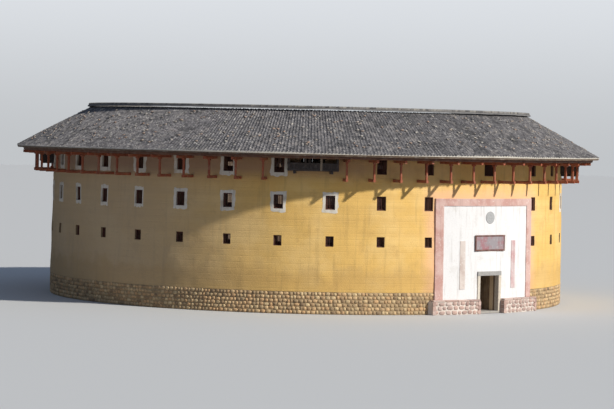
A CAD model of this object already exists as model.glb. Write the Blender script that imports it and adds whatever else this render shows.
import math

import bpy
import numpy as np
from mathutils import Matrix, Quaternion, Vector


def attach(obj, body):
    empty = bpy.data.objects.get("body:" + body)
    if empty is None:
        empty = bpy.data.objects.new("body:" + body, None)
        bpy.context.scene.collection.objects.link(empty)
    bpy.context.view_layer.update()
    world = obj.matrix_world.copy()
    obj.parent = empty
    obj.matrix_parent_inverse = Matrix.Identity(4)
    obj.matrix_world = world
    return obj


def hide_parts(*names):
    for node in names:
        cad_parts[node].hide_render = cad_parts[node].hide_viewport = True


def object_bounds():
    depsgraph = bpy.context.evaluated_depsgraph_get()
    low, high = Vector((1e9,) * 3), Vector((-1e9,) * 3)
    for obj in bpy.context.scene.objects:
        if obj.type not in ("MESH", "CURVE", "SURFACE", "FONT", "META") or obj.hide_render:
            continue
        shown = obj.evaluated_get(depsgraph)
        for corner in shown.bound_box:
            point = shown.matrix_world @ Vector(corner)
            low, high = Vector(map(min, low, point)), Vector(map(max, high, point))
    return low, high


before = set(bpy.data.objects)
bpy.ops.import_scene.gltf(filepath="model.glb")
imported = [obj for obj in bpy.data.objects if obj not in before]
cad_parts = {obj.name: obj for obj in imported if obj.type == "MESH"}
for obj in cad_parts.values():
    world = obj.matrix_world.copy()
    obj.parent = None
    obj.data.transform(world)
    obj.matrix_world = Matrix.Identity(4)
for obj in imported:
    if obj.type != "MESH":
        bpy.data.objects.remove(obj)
cad_low, cad_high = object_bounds()

# Rammed-earth wall: a ring of yellow earth beaten in lifts between boards, on a stone footing. Its outer
# face leans in a little, its room side steps back at each floor, and the windows, the hatches and the gate
# passage are cut through it. Sizes are in metres at half scale. 34 bays run from the gate, at -Y, to +X.
BAYS = 34
BAY = 2 * math.pi / BAYS
WALL_FOOT_RADIUS = 9.5
WALL_BATTER = 0.0125
WALL_LOW = 0.7504
WALL_TOP_OUTSIDE = 6.030
WALL_TOP_INSIDE = 6.255
ROOM_RADII = ((1.7345, 8.85), (3.0345, 8.90), (4.3095, 8.95), (99.0, 9.0))
LEDGE_SLOPE = 0.008
LIFT_HEIGHT = 0.21
LIFT_GROOVE = (0.0035, 0.10)
LIFT_STEP = (0.0035, 12.9898, 4.1)
WALL_SWELLS = ((0.010, 1, 18, 6.0, 1.2), (0.004, 2, 30, 0.9, 0.25))
ROOM_SWELL = (0.004, 3, 24, 2.0, 0.4)
WALL_GRID = (0.074, 0.10)
PASSAGE_HALF = 0.5755
PASSAGE_TOP = 1.4506
PASSAGE_RADIUS = 9.49
PASSAGE_FADE = 1.3
WINDOWS = {"second": (0.1375, 2.275, 2.625), "third": (0.1625, 3.5125, 3.9875), "fourth": (0.175, 4.725, 5.325)}
LOOKOUT_BAYS = (3.85, 13.15, 20.85, 30.15)
HIDDEN_BY_LOOKOUTS = (3.5, 13.5, 20.5, 30.5)

# Every opening as its row, bay, half width, low and high edge.
OPENINGS = [
    (row, bay, *size) for row, size in WINDOWS.items() for bay in np.arange(1.5, BAYS - 1)
    if not (row == "fourth" and bay in HIDDEN_BY_LOOKOUTS)
]
OPENINGS.append(("gate", 0.0, 0.275, 4.725, 5.225))
OPENINGS += [("hatch", bay, 0.40, 4.84, 5.60) for bay in LOOKOUT_BAYS]
OPENINGS.append(("passage", 0.0, PASSAGE_HALF, -1.0, PASSAGE_TOP))


def polar(bay, radius, z):
    """Points at a bay number, radius and height: x = r sin(a), y = -r cos(a), with a the bay's angle."""
    bay, radius, z = np.broadcast_arrays(np.asarray(bay, float), radius, z)
    angle = bay * BAY
    return np.stack([radius * np.sin(angle), -radius * np.cos(angle), z], axis=-1)


def wall_radius(z):
    """Radius of the outer face: the foot's radius less the batter times the height."""
    return WALL_FOOT_RADIUS - WALL_BATTER * np.asarray(z, float)


def bays_from(bay, middle=0.0):
    """Bays from a middle, the short way round, below zero on its west."""
    return (bay - middle + BAYS / 2) % BAYS - BAYS / 2


def ripple(seed, bay, z, waves, longest, shortest):
    """Smooth unevenness, mostly from -1 to 1: sines of bay and height, each with a whole number of waves to a
    turn, added up and divided by the root of their count."""
    rng = np.random.default_rng(seed)
    total = 0
    reach = 2 * math.pi * WALL_FOOT_RADIUS
    for _ in range(waves):
        length = math.exp(rng.uniform(math.log(shortest), math.log(longest)))
        heading = rng.uniform(0, 2 * math.pi)
        turns = round(reach / length * math.cos(heading))
        steep = 2 * math.pi / length * math.sin(heading)
        total = total + np.sin(turns * bay * BAY + steep * z + rng.uniform(0, 2 * math.pi))
    return total / math.sqrt(waves)


def wall_skin(bay, z):
    """Radius of the beaten face: the battered radius, plus a groove exp(-(d / w)^2) at each joint between
    lifts, a step sin(k n + c) of lift n, and slow and short unevenness, all fading out just under the
    roof."""
    course = np.asarray(z, float) / LIFT_HEIGHT
    joint = np.abs(course - np.round(course))
    depth, width = LIFT_GROOVE
    swing, factor, start = LIFT_STEP
    relief = -depth * np.exp(-((joint / width) ** 2)) + swing * np.sin(factor * np.floor(course) + start)
    for height, seed, *waves in WALL_SWELLS:
        relief = relief + height * ripple(seed, bay, z, *waves)
    return wall_radius(z) + relief * np.clip((WALL_TOP_OUTSIDE - z) / 0.2, 0, 1)


def opening_reach(half, low, high):
    """Half an opening's width in bays, at the middle of its height."""
    return math.asin(half / wall_radius((max(low, WALL_LOW) + high) / 2)) / BAY


def spread(required, low, high, step):
    """Grid lines from low to high: the required ones, and others about a step apart between them."""
    required = np.unique(np.round([low, *required, high], 6))
    lines = [required[0]]
    for start, end in zip(required[:-1], required[1:]):
        parts = max(1, round((end - start) / step))
        lines.extend(np.linspace(start, end, parts + 1)[1:])
    return np.array(lines)


def middles(lines):
    """Middles between neighbouring lines."""
    return (lines[1:] + lines[:-1]) / 2


def passage_turn(bay, outer, inner):
    """Bay of the inner end of a line that starts at a bay on the outer face. At the gate the line runs
    straight through, parallel to the axis, and from there the turn fades out with the bays."""
    near = bays_from(bay)
    edge = math.asin(PASSAGE_HALF / PASSAGE_RADIUS) / BAY
    widen = np.arcsin(PASSAGE_HALF / inner) / np.arcsin(PASSAGE_HALF / outer)
    fade = np.clip((PASSAGE_FADE - np.abs(near)) / (PASSAGE_FADE - edge), 0, 1)
    return bay + near * (widen - 1) * fade


def quads(rows, columns, wrap=False, close=False, first=0):
    """Faces of a grid of points, row by row, facing the side from which columns run right and rows run up.
    Wrap joins the last column to the first, and close joins the last row to the first."""
    index = first + np.arange(rows * columns).reshape(rows, columns)
    if wrap:
        index = np.hstack([index, index[:, :1]])
    if close:
        index = np.vstack([index, index[:1]])
    return np.stack([index[:-1, :-1], index[:-1, 1:], index[1:, 1:], index[1:, :-1]], axis=-1).reshape(-1, 4)


def shell_from_mask(outside, inside, solid):
    """Closed shell between two grids of points that wrap round: cells marked solid get an outer and an inner
    face, and every edge between a solid cell and an open one, or the grid's top or foot, gets a face across
    the wall. Gives points, faces, and a mark of 0 for each outer face and 1 for every other."""
    rows, columns = outside.shape[:2]
    outer = quads(rows, columns, wrap=True).reshape(rows - 1, columns, 4)
    index = np.arange(rows * columns).reshape(rows, columns)
    after = np.roll(index, -1, axis=1)
    back, back_after = index + index.size, after + index.size
    open_row = np.zeros((1, columns), bool)
    below, above = np.vstack([open_row, solid]), np.vstack([solid, open_row])
    before = np.roll(solid, 1, axis=1)
    faces = [outer[solid], (outer + index.size)[solid][:, ::-1]]
    for corners, edges in (
        ((index, back, back_after, after), above & ~below),
        ((index, after, back_after, back), below & ~above),
        ((index[:-1], index[1:], back[1:], back[:-1]), solid & ~before),
        ((index[:-1], back[:-1], back[1:], index[1:]), ~solid & before),
    ):
        faces.append(np.stack(corners, axis=-1)[edges])
    faces = np.concatenate(faces)
    points = np.concatenate([outside.reshape(-1, 3), inside.reshape(-1, 3)])
    used, renumbered = np.unique(faces, return_inverse=True)
    return points[used], renumbered.reshape(faces.shape), (np.arange(len(faces)) >= solid.sum()).astype(int)


def add_piece(name, shape, materials, replaces=(), smooth=0, body="house", marks=None):
    """A mesh object at the origin, ridden, slotted and standing for its nodes. A shape is points and faces
    (one array, or a list of arrays of faces with as many corners), and may add grain, the place of each point
    in its own stone or timber, and tone, a shade from 0 to 1 for each point or face. Marks give each face its
    material. Faces that meet at less than the smooth angle in degrees are shaded as one, and at 180 all
    are."""
    points, faces, grain, tone = (*shape, None, None)[:4]
    groups = [np.asarray(part, np.int32) for part in (faces if isinstance(faces, list) else [faces])]
    counts = np.concatenate([np.full(len(part), part.shape[1], np.int32) for part in groups])
    corners = np.concatenate([part.ravel() for part in groups])
    points = np.asarray(points, np.float32).reshape(-1, 3)
    mesh = bpy.data.meshes.new(name)
    mesh.vertices.add(len(points))
    mesh.vertices.foreach_set("co", points.ravel())
    mesh.loops.add(len(corners))
    mesh.loops.foreach_set("vertex_index", corners)
    mesh.polygons.add(len(counts))
    mesh.polygons.foreach_set("loop_start", np.cumsum(counts) - counts)
    mesh.update(calc_edges=True)
    for material in materials:
        mesh.materials.append(material)
    if marks is not None:
        mesh.polygons.foreach_set("material_index", np.asarray(marks, np.int32))
    mesh.polygons.foreach_set("use_smooth", np.full(len(counts), smooth > 0))
    if tone is not None:
        domain = "POINT" if len(tone) == len(points) else "FACE"
        mesh.attributes.new("tone", "FLOAT", domain).data.foreach_set("value", np.asarray(tone, np.float32))
    if grain is not None:
        places = mesh.attributes.new("grain", "FLOAT_VECTOR", "POINT")
        places.data.foreach_set("vector", np.asarray(grain, np.float32).ravel())
    mesh.update()
    if 0 < smooth < 180:
        mesh.set_sharp_from_angle(angle=math.radians(smooth))
    piece = bpy.data.objects.new(name, mesh)
    bpy.context.scene.collection.objects.link(piece)
    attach(piece, body)
    if replaces:
        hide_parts(*replaces)


def shade(tree, kind, inputs=None, **settings):
    """Adds a shader node: settings are its own, and each input takes another node's output or a plain
    value."""
    made = tree.nodes.new("ShaderNode" + kind)
    for key, value in settings.items():
        setattr(made, key, value)
    for key, value in (inputs or {}).items():
        socket = made.inputs[key]
        if isinstance(value, bpy.types.NodeSocket):
            tree.links.new(value, socket)
        else:
            socket.default_value = (*value, 1) if socket.type == "RGBA" else value
    return made


def calculated(tree, operation, *values):
    """Result of a Math node."""
    return shade(tree, "Math", dict(enumerate(values)), operation=operation).outputs[0]


def mixed(tree, share, first, second):
    """Colour a share of the way from the first to the second."""
    return shade(tree, "Mix", {0: share, 6: first, 7: second}, data_type="RGBA").outputs[2]


def noise(tree, place, scale, detail, roughness=0.5, distortion=0.0):
    """Value of a noise at a place."""
    labels = ("Vector", "Scale", "Detail", "Roughness", "Distortion")
    values = (place, scale, detail, roughness, distortion)
    return shade(tree, "TexNoise", dict(zip(labels, values))).outputs["Fac"]


def ramp(tree, value, start, end, low=0.0, high=1.0, kind="SMOOTHSTEP"):
    """Low up to where a value is start, high from where it is end, and between them on a curve of a kind."""
    inputs = {"Value": value, "From Min": start, "From Max": end, "To Min": low, "To Max": high}
    return shade(tree, "MapRange", inputs, interpolation_type=kind).outputs["Result"]


def build_coat(name, drawn, detail, roughness, kind):
    """Shader group: a second colour laid over the first where a noise, drawn out along an axis or left as it
    is, passes a threshold."""
    group = bpy.data.node_groups.new(name, "ShaderNodeTree")
    floats = dict.fromkeys(("Scale", "Threshold", "Softness", "Strength"), "Float")
    for label, socket in {"Vector": "Vector", "Colour": "Color", "Coat Colour": "Color", **floats}.items():
        group.interface.new_socket(label, in_out="INPUT", socket_type="NodeSocket" + socket)
    group.interface.new_socket("Colour", in_out="OUTPUT", socket_type="NodeSocketColor")
    entry = group.nodes.new("NodeGroupInput").outputs
    place = entry["Vector"]
    if drawn:
        place = shade(group, "Mapping", {"Vector": place, "Scale": drawn}).outputs["Vector"]
    full = calculated(group, "ADD", entry["Threshold"], entry["Softness"])
    cloud = noise(group, place, entry["Scale"], detail, roughness)
    mask = ramp(group, cloud, entry["Threshold"], full, kind=kind)
    mask = calculated(group, "MULTIPLY", mask, entry["Strength"])
    group.links.new(
        mixed(group, mask, entry["Colour"], entry["Coat Colour"]),
        group.nodes.new("NodeGroupOutput").inputs["Colour"],
    )
    return group


mottle = build_coat("mottle", None, 5.0, 0.62, "SMOOTHSTEP")
rain_streaks = build_coat("rain_streaks", (1.0, 1.0, 0.08), 4.0, 0.6, "LINEAR")


def coated(tree, place, colour, *coats):
    """The colour under coats laid on in turn. Each coat is a group and its inputs: coat colour, scale,
    threshold, softness and strength."""
    for group, *values in coats:
        inputs = dict(enumerate((place, colour, *values)))
        colour = shade(tree, "Group", inputs, node_tree=group).outputs["Colour"]
    return colour


def tinted(colour, *shares):
    """A colour times one share, or times one each for red, green and blue."""
    return tuple(np.multiply(colour, shares))


def new_material(name, roughness, viewport):
    """A material with a Principled shader, its nodes, and the place of what it shades."""
    material = bpy.data.materials.new(name)
    material.use_nodes = True
    material.diffuse_color = (*viewport, 1)
    tree = material.node_tree
    tree.nodes["Principled BSDF"].inputs["Roughness"].default_value = roughness
    return material, tree, shade(tree, "TexCoord").outputs["Object"]


def finished(material, colour, height, strength, distance):
    """The material, once a colour goes to its shader, and a height through a Bump node to its normal."""
    tree = material.node_tree
    surface = tree.nodes["Principled BSDF"].inputs
    bump = shade(tree, "Bump", {"Strength": strength, "Distance": distance, "Height": height})
    tree.links.new(colour, surface["Base Color"])
    tree.links.new(bump.outputs["Normal"], surface["Normal"])
    return material


SHADED_SIDE = (-0.8, 0.6)
GREYED = ((1.0, 7.0), 0.62, (0.455, 0.385, 0.31))
SMOKED = ((4.35, 4.9), 0.72, (0.37, 0.22, 0.16))
SMOKED_IN_SUN = ((-6.0, 1.5), 0.2)
HALO_HALF = 2.36
HALO_TOP = 3.95
HALO_REACH = 0.62
HALO = (0.5, 0.25, 0.75, (0.88, 0.52, 0.31))


def weather_outside(tree, place, colour):
    """What weather does to the outer face. It greys with the way towards the shaded side, the sum of x and y
    times that side's direction. It is smoked brown under the eave, less where the sun reaches. It is washed
    with red round the gate's border, by the distance sqrt(dx^2 + dz^2) to the border's outline plus a noise,
    in front."""
    x, y, z = shade(tree, "SeparateXYZ", {"Vector": place}).outputs
    side = calculated(tree, "MULTIPLY_ADD", x, SHADED_SIDE[0], calculated(tree, "MULTIPLY", y, SHADED_SIDE[1]))
    reach, most, grey = GREYED
    colour = mixed(tree, ramp(tree, side, *reach, 0.0, most), colour, grey)
    reach, most, brown = SMOKED
    smoke = ramp(tree, z, *reach, 0.0, most)
    reach, least = SMOKED_IN_SUN
    colour = mixed(tree, calculated(tree, "MULTIPLY", smoke, ramp(tree, side, *reach, least)), colour, brown)
    ragged, start, most, red = HALO
    aside = calculated(tree, "SUBTRACT", calculated(tree, "ABSOLUTE", x), HALO_HALF)
    aside = calculated(tree, "MAXIMUM", aside, 0.0)
    above = calculated(tree, "MAXIMUM", calculated(tree, "SUBTRACT", z, HALO_TOP), 0.0)
    square = calculated(tree, "MULTIPLY_ADD", aside, aside, calculated(tree, "MULTIPLY", above, above))
    away = calculated(tree, "SQRT", square)
    away = calculated(tree, "MULTIPLY_ADD", noise(tree, place, 3.0, 4.0), ragged, away)
    near = ramp(tree, away, start + HALO_REACH, start)
    front = calculated(tree, "MULTIPLY", near, calculated(tree, "LESS_THAN", y, 0.0))
    return mixed(tree, calculated(tree, "MULTIPLY", front, most), colour, red)


def build_earth(name, ochre, pale, dark, damp_top, outside=False):
    """Rammed earth: pale bloom and dark damp patches, a tone of its own for each lift, rain streaks, the
    weather's marks outside, small stones, and a ragged damp band above the ground. Its relief is a fine noise
    with the joints between lifts and the small stones."""
    material, tree, place = new_material(name, 0.95, ochre)
    height = shade(tree, "SeparateXYZ", {"Vector": place}).outputs["Z"]
    lifts = calculated(tree, "DIVIDE", height, LIFT_HEIGHT)
    lift_number = calculated(tree, "ROUND", lifts)
    lift_tone = shade(tree, "TexWhiteNoise", {"W": lift_number}, noise_dimensions="1D").outputs["Value"]
    bloom, cloud = (mottle, pale, 0.55, 0.42, 0.22, 0.55), (mottle, dark, 1.7, 0.54, 0.16, 0.45)
    colour = coated(tree, place, ochre, bloom, cloud)
    colour = mixed(tree, calculated(tree, "MULTIPLY", lift_tone, 0.22), colour, dark)
    colour = coated(tree, place, colour, (rain_streaks, tinted(dark, 0.6, 0.6, 0.7), 5.0, 0.54, 0.18, 0.34))
    if outside:
        colour = weather_outside(tree, place, colour)
    stones = shade(tree, "TexVoronoi", {"Vector": place, "Scale": 26.0, "Randomness": 1.0}).outputs["Distance"]
    grit = ramp(tree, stones, 0.16, 0.05, kind="LINEAR")
    colour = mixed(tree, calculated(tree, "MULTIPLY", grit, 0.35), colour, (0.52, 0.44, 0.34))
    ragged = calculated(tree, "MULTIPLY_ADD", noise(tree, place, 2.2, 3.0), -1.3, height)
    damp = calculated(tree, "MULTIPLY", ramp(tree, ragged, damp_top, damp_top - 0.55), 0.32)
    colour = mixed(tree, damp, colour, tinted(dark, 0.75, 0.75, 0.85))
    from_joint = calculated(tree, "ABSOLUTE", calculated(tree, "SUBTRACT", lifts, lift_number))
    joint = ramp(tree, from_joint, 0.0, 0.09, kind="LINEAR")
    relief = calculated(tree, "MULTIPLY_ADD", joint, 0.35, noise(tree, place, 34.0, 7.0, 0.7))
    return finished(material, colour, calculated(tree, "MULTIPLY_ADD", grit, 0.25, relief), 0.55, 0.02)


bay_lines = [(bay + side * opening_reach(*size)) % BAYS for _, bay, *size in OPENINGS for side in (-1, 1)]
bay_lines = spread(bay_lines, 0.0, BAYS, WALL_GRID[0])[:-1]
height_lines = [low for *_, low, _ in OPENINGS if low > WALL_LOW] + [high for *_, high in OPENINGS]
height_lines += [z - shift for z, _ in ROOM_RADII[:-1] for shift in (0.0, LEDGE_SLOPE)]
height_lines = spread(height_lines, WALL_LOW, WALL_TOP_OUTSIDE, WALL_GRID[1])
wall_bay, wall_z = np.meshgrid(bay_lines, height_lines)
room_limits, room_radii = np.array(ROOM_RADII).T
room_radius = room_radii[np.searchsorted(room_limits, wall_z, side="left")]
room_z = wall_z.copy()
room_z[-1] = WALL_TOP_INSIDE
room_bay = passage_turn(wall_bay, wall_radius(wall_z), room_radius)
room_radius = room_radius + ROOM_SWELL[0] * ripple(ROOM_SWELL[1], wall_bay, wall_z, *ROOM_SWELL[2:])
cell_bay = middles(np.append(bay_lines, BAYS))
cell_z = middles(height_lines)[:, None]
solid_cells = np.ones((len(cell_z), len(cell_bay)), bool)
for _, hole_bay, half, low, high in OPENINGS:
    beside_hole = np.abs(bays_from(cell_bay, hole_bay)) >= opening_reach(half, low, high)
    solid_cells &= (cell_z <= low) | (cell_z >= high) | beside_hole
*wall_shape, wall_marks = shell_from_mask(
    polar(wall_bay, wall_skin(wall_bay, wall_z), wall_z), polar(room_bay, room_radius, room_z), solid_cells,
)
earth_outside = build_earth(
    "rammed_earth", (0.80, 0.515, 0.155), (0.88, 0.63, 0.27), (0.58, 0.355, 0.115), 1.1, outside=True,
)
earth_room_side = build_earth(
    "rammed_earth_rooms", (0.30, 0.21, 0.12), (0.38, 0.29, 0.18), (0.16, 0.11, 0.07), 0.5,
)
add_piece(
    "earth_wall", wall_shape, [earth_outside, earth_room_side],
    (
        "wall_front_east", "wall_east", "wall_back_east", "wall_back_west", "wall_west", "wall_front_west",
        "gate_wall_west", "gate_wall_east", "wall_over_gate",
    ),
    smooth=50, marks=wall_marks,
)

# Stone footing: river cobbles bedded in earth mortar, six rough courses high, which keep the rammed earth out
# of the wet. The mortar is one ring under the wall, open only at the gate, and the stones bulge out of it.
FOOTING_TOP = 0.75
FOOTING_ROOM_RADIUS = 8.85
MORTAR_RADIUS = WALL_FOOT_RADIUS - 0.022
COURSE_GAP = 0.004
COBBLE_COURSES = 6
COBBLE_WIDEST = 0.205
COBBLE_PROUD = 0.020
COBBLE_SIDES = 9
COBBLE_SQUARENESS = 0.72
COBBLE_RINGS = ((0.90, -1.6), (1.0, 0.0), (0.72, 0.86))


def copies(faces, count, points_each):
    """The faces of one shape repeated for a number of shapes whose points follow each other."""
    steps = np.arange(count)[:, None, None] * points_each
    return (np.asarray(faces)[None] + steps).reshape(-1, np.shape(faces)[1])


def fan(first, count, tip, back=False):
    """Triangles from a ring of points to a tip in front of it, or behind it."""
    ring = first + np.arange(count)
    pair = (np.roll(ring, -1), ring) if back else (ring, np.roll(ring, -1))
    return np.stack([*pair, np.full(count, tip)], axis=1)


def together(*shapes):
    """Joins shapes, each given as points, list of face arrays, grain and tone, into one."""
    points, faces, grain, tone = zip(*shapes)
    points, grain = ([part.reshape(-1, 3) for part in parts] for parts in (points, grain))
    firsts = np.cumsum([0] + [len(part) for part in points])
    faces = [np.asarray(some) + first for first, group in zip(firsts, faces) for some in group]
    return np.concatenate(points), faces, np.concatenate(grain), np.concatenate(tone)


def cobbles(stones, face_radius, proud, seed):
    """Rounded stones on a round face. Each is three rings of points round a squarish outline, |cos|^p and
    |sin|^p with p below one: one behind the face, one at it and one in front, closed by a point at the back
    and at the front, with every ring point moved in or out by a random share."""
    bay, z, half_width, half_height = stones
    rng = np.random.default_rng(seed)
    count = len(bay)
    turn = np.linspace(0, 2 * math.pi, COBBLE_SIDES, endpoint=False)
    reach, ahead = np.array(COBBLE_RINGS).T
    swell = 1 + rng.uniform(-0.13, 0.06, (count, 1, COBBLE_SIDES))
    u, v = (
        half[:, None, None] * reach[:, None] * (np.sign(part) * np.abs(part) ** COBBLE_SQUARENESS) * swell
        for half, part in ((half_width, np.cos(turn)), (half_height, np.sin(turn)))
    )
    depth = (proud * rng.uniform(0.6, 1.15, count))[:, None, None] * ahead[:, None] + np.zeros_like(u)
    depth[:, 2] += rng.uniform(-0.25, 0.25, (count, COBBLE_SIDES)) * proud
    tips = np.stack([np.full(count, ahead[0] * proud), proud * rng.uniform(0.85, 1.2, count)], axis=1)
    u, v, depth = (
        np.concatenate([part.reshape(count, -1), ends], axis=1)
        for part, ends in ((u, 0 * tips), (v, 0 * tips), (depth, tips))
    )
    points = polar(bay[:, None] + u / (face_radius * BAY), face_radius + depth, z[:, None] + v)
    back = 3 * COBBLE_SIDES
    fans = [fan(0, COBBLE_SIDES, back, back=True), fan(2 * COBBLE_SIDES, COBBLE_SIDES, back + 1)]
    each = back + 2
    faces = [copies(part, count, each) for part in (quads(3, COBBLE_SIDES, wrap=True), np.concatenate(fans))]
    grain = np.stack([u, v, depth], axis=-1) + rng.uniform(0, 40, (count, 1, 3))
    return points, faces, grain, np.repeat(rng.uniform(0, 1, count), each)


def cobble_courses(from_bay, to_bay, low, high, courses, widest, seed):
    """Middles and half sizes of stones laid in courses: widths are random, and scaled so that a course fills
    its stretch of wall, and each course's stones vary in height about the course's own."""
    rng = np.random.default_rng(seed)
    course_height = (high - low) / courses
    stretch = (to_bay - from_bay) * BAY * WALL_FOOT_RADIUS
    rows = []
    for course in range(courses):
        count = round(stretch / (widest * 0.72))
        width = rng.uniform(0.5, 1.0, count)
        width *= stretch / width.sum()
        edge = np.concatenate([[0], np.cumsum(width)])
        rows.append((
            from_bay + (edge[:-1] + edge[1:]) / 2 / (BAY * WALL_FOOT_RADIUS),
            low + (course + 0.5) * course_height + rng.uniform(-0.1, 0.1, count) * course_height,
            width / 2 * 0.95,
            course_height / 2 * rng.uniform(0.84, 1.02, count),
        ))
    bay, z, half_width, half_height = (np.concatenate(values) for values in zip(*rows))
    return bay, np.clip(z, low + half_height, high - half_height), half_width, half_height


def own_marks(tree):
    """The place in each stone or timber, and its own shade."""
    grain, tone = (shade(tree, "Attribute", attribute_name=label).outputs for label in ("grain", "tone"))
    return grain["Vector"], tone["Fac"]


def build_stone(name, dark, light, warm, roughness=0.85, speck=0.5):
    """Field stone: every stone has its own shade between dark and light, some lean to a warmer one, and
    grain, specks and pits come from noises in the stone's own place."""
    material, tree, _ = new_material(name, roughness, light)
    own, tone = own_marks(tree)
    other_tone = calculated(tree, "FRACT", calculated(tree, "MULTIPLY", tone, 7.31))
    warmth = calculated(tree, "MULTIPLY", calculated(tree, "POWER", other_tone, 2.0), 0.85)
    colour = coated(
        tree, own, mixed(tree, warmth, mixed(tree, tone, dark, light), warm),
        (mottle, tinted(dark, 0.55), 14.0, 0.5, 0.2, speck),
        (mottle, tinted(light, 1.25, 1.25, 1.2), 38.0, 0.57, 0.1, speck),
    )
    return finished(material, colour, noise(tree, own, 55.0, 6.0, 0.65), 0.6, 0.012)


earth_mortar = build_earth("earth_mortar", (0.46, 0.33, 0.17), (0.58, 0.46, 0.28), (0.28, 0.20, 0.12), 0.4)
footing_bay, footing_z = np.meshgrid(bay_lines, np.linspace(0.0, FOOTING_TOP, 4))
footing_turn = passage_turn(footing_bay, WALL_FOOT_RADIUS, FOOTING_ROOM_RADIUS)
gate_reach = math.asin(PASSAGE_HALF / WALL_FOOT_RADIUS) / BAY
*mortar_shape, _ = shell_from_mask(
    polar(footing_bay, MORTAR_RADIUS, footing_z), polar(footing_turn, FOOTING_ROOM_RADIUS, footing_z),
    np.broadcast_to(np.abs(bays_from(cell_bay)) > gate_reach, (3, len(cell_bay))),
)
add_piece("footing_mortar", mortar_shape, [earth_mortar], ("stone_footing",), smooth=35)
river_cobble = build_stone("river_cobble", (0.25, 0.17, 0.10), (0.70, 0.53, 0.30), (0.62, 0.38, 0.19))
footing_stones = cobble_courses(
    gate_reach + 0.02, BAYS - gate_reach - 0.02, COURSE_GAP, FOOTING_TOP - COURSE_GAP, COBBLE_COURSES,
    COBBLE_WIDEST, 11,
)
footing_stones = cobbles(footing_stones, MORTAR_RADIUS + COURSE_GAP, COBBLE_PROUD, 12)
add_piece("footing_cobbles", footing_stones, [river_cobble], smooth=180)

# Window surrounds: lime plaster brushed round the windows of the third and fourth storeys, thick at the
# opening and ragged outside. Weather has taken it off the two windows of each row that are nearest the gate
# on each side, and worn it narrow at the sides of three others.
SURROUND_PROUD = 0.009
SURROUND_DEPTH = 0.05
SURROUND_POINTS = 14
SURROUND_LAP = 0.001
SURROUND_MARGIN = {"third": 0.115, "fourth": 0.130}
BARE_BAYS = (1.5, 2.5, 31.5, 32.5)
WORN_BAYS = (24.5, 25.5, 26.5)
WORN_SIDES = 0.35


def box_outline(half_width, half_height):
    """Points round a rectangle, anticlockwise from its lower left corner, evenly spaced along each side."""
    steps = np.arange(SURROUND_POINTS) / SURROUND_POINTS
    corners = np.array([(-1, -1), (1, -1), (1, 1), (-1, 1)])
    after = np.roll(corners, -1, axis=0)
    outline = corners[:, None] + (after - corners)[:, None] * steps[None, :, None]
    return outline.reshape(-1, 2) * (half_width, half_height)


def surround(bay, half, low, high, margin, sides, seed):
    """A plaster band round a window: four loops of points, back and front of its ragged outer edge, then
    front and back of its inner edge, which laps into the opening. The outer edge is the window's outline
    grown by the margin times one plus noise, with cut-off corners."""
    rng = np.random.default_rng(seed)
    middle, half_height = (low + high) / 2, (high - low) / 2
    inner = box_outline(half - SURROUND_LAP, half_height - SURROUND_LAP)
    outer = box_outline(half + margin, half_height + margin)
    ragged = rng.normal(0, 1, len(outer))
    ragged = (np.roll(ragged, 1) + 2 * ragged + np.roll(ragged, -1)) / 4
    outer = inner + (outer - inner) * (1 + 0.20 * ragged)[:, None] * np.array([sides, 1.0])
    outer = outer * (1 - 0.05 * np.clip(np.abs(outer[:, 0]) / (half + margin), 0, 1) ** 6)[:, None]
    points = []
    for loop, depth in (
        (outer, -0.3 * SURROUND_DEPTH), (outer * 0.995, 0.45 * SURROUND_PROUD), (inner, SURROUND_PROUD),
        (inner, -SURROUND_DEPTH),
    ):
        turn = bay + loop[:, 0] / (wall_radius(middle) * BAY)
        points.append(polar(turn, wall_skin(turn, middle + loop[:, 1]) + depth, middle + loop[:, 1]))
    return np.concatenate(points)


def build_plaster(name, white, stain, stains):
    """Old lime plaster: white with grey damp patches, rain streaks and a rubbed fine relief."""
    material, tree, place = new_material(name, 0.9, white)
    colour = coated(
        tree, place, white,
        (mottle, stain, 2.4, 0.50, 0.22, stains),
        (rain_streaks, tinted(stain, 0.6, 0.58, 0.55), 9.0, 0.55, 0.18, stains * 0.8),
        (mottle, tinted(stain, 0.75, 0.7, 0.6), 21.0, 0.60, 0.08, stains * 0.7),
    )
    return finished(material, colour, noise(tree, place, 18.0, 7.0, 0.6), 0.35, 0.02)


surround_plaster = build_plaster("surround_plaster", (0.74, 0.70, 0.62), (0.50, 0.42, 0.30), 0.7)
surrounds = [
    surround(
        bay, half, low, high, SURROUND_MARGIN[row],
        WORN_SIDES if row == "third" and bay in WORN_BAYS else 1.0, int(bay * 10 + low * 100),
    )
    for row, bay, half, low, high in OPENINGS if row in SURROUND_MARGIN and bay not in BARE_BAYS
]
surround_faces = copies(quads(4, 4 * SURROUND_POINTS, wrap=True, close=True), len(surrounds), len(surrounds[0]))
add_piece("window_surrounds", (surrounds, surround_faces), [surround_plaster], smooth=40)

# Windows: a pegged frame of fir, painted red-brown and set back in each opening, with upright bars and no
# glass. The wide window over the gate has more bars.
FRAME_SETBACK = 0.085
FRAME_TIMBER = 0.032
BAR_TIMBER = 0.016
BARS = {"second": 3, "third": 4, "fourth": 5, "gate": 8}
UP = (0.0, 0.0, 1.0)


def outward(bay):
    """The way straight out of the wall at a bay."""
    return polar(bay, 1.0, 0.0)


def along(bay):
    """The way along the wall at a bay."""
    return polar(bay + BAYS / 4, 1.0, 0.0)


def beside(bay, across, radius, z):
    """Points on a flat frame at a bay: across along the wall, at a radius, at a height."""
    return polar(bay, radius, z) + np.multiply.outer(across, along(bay))


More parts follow.
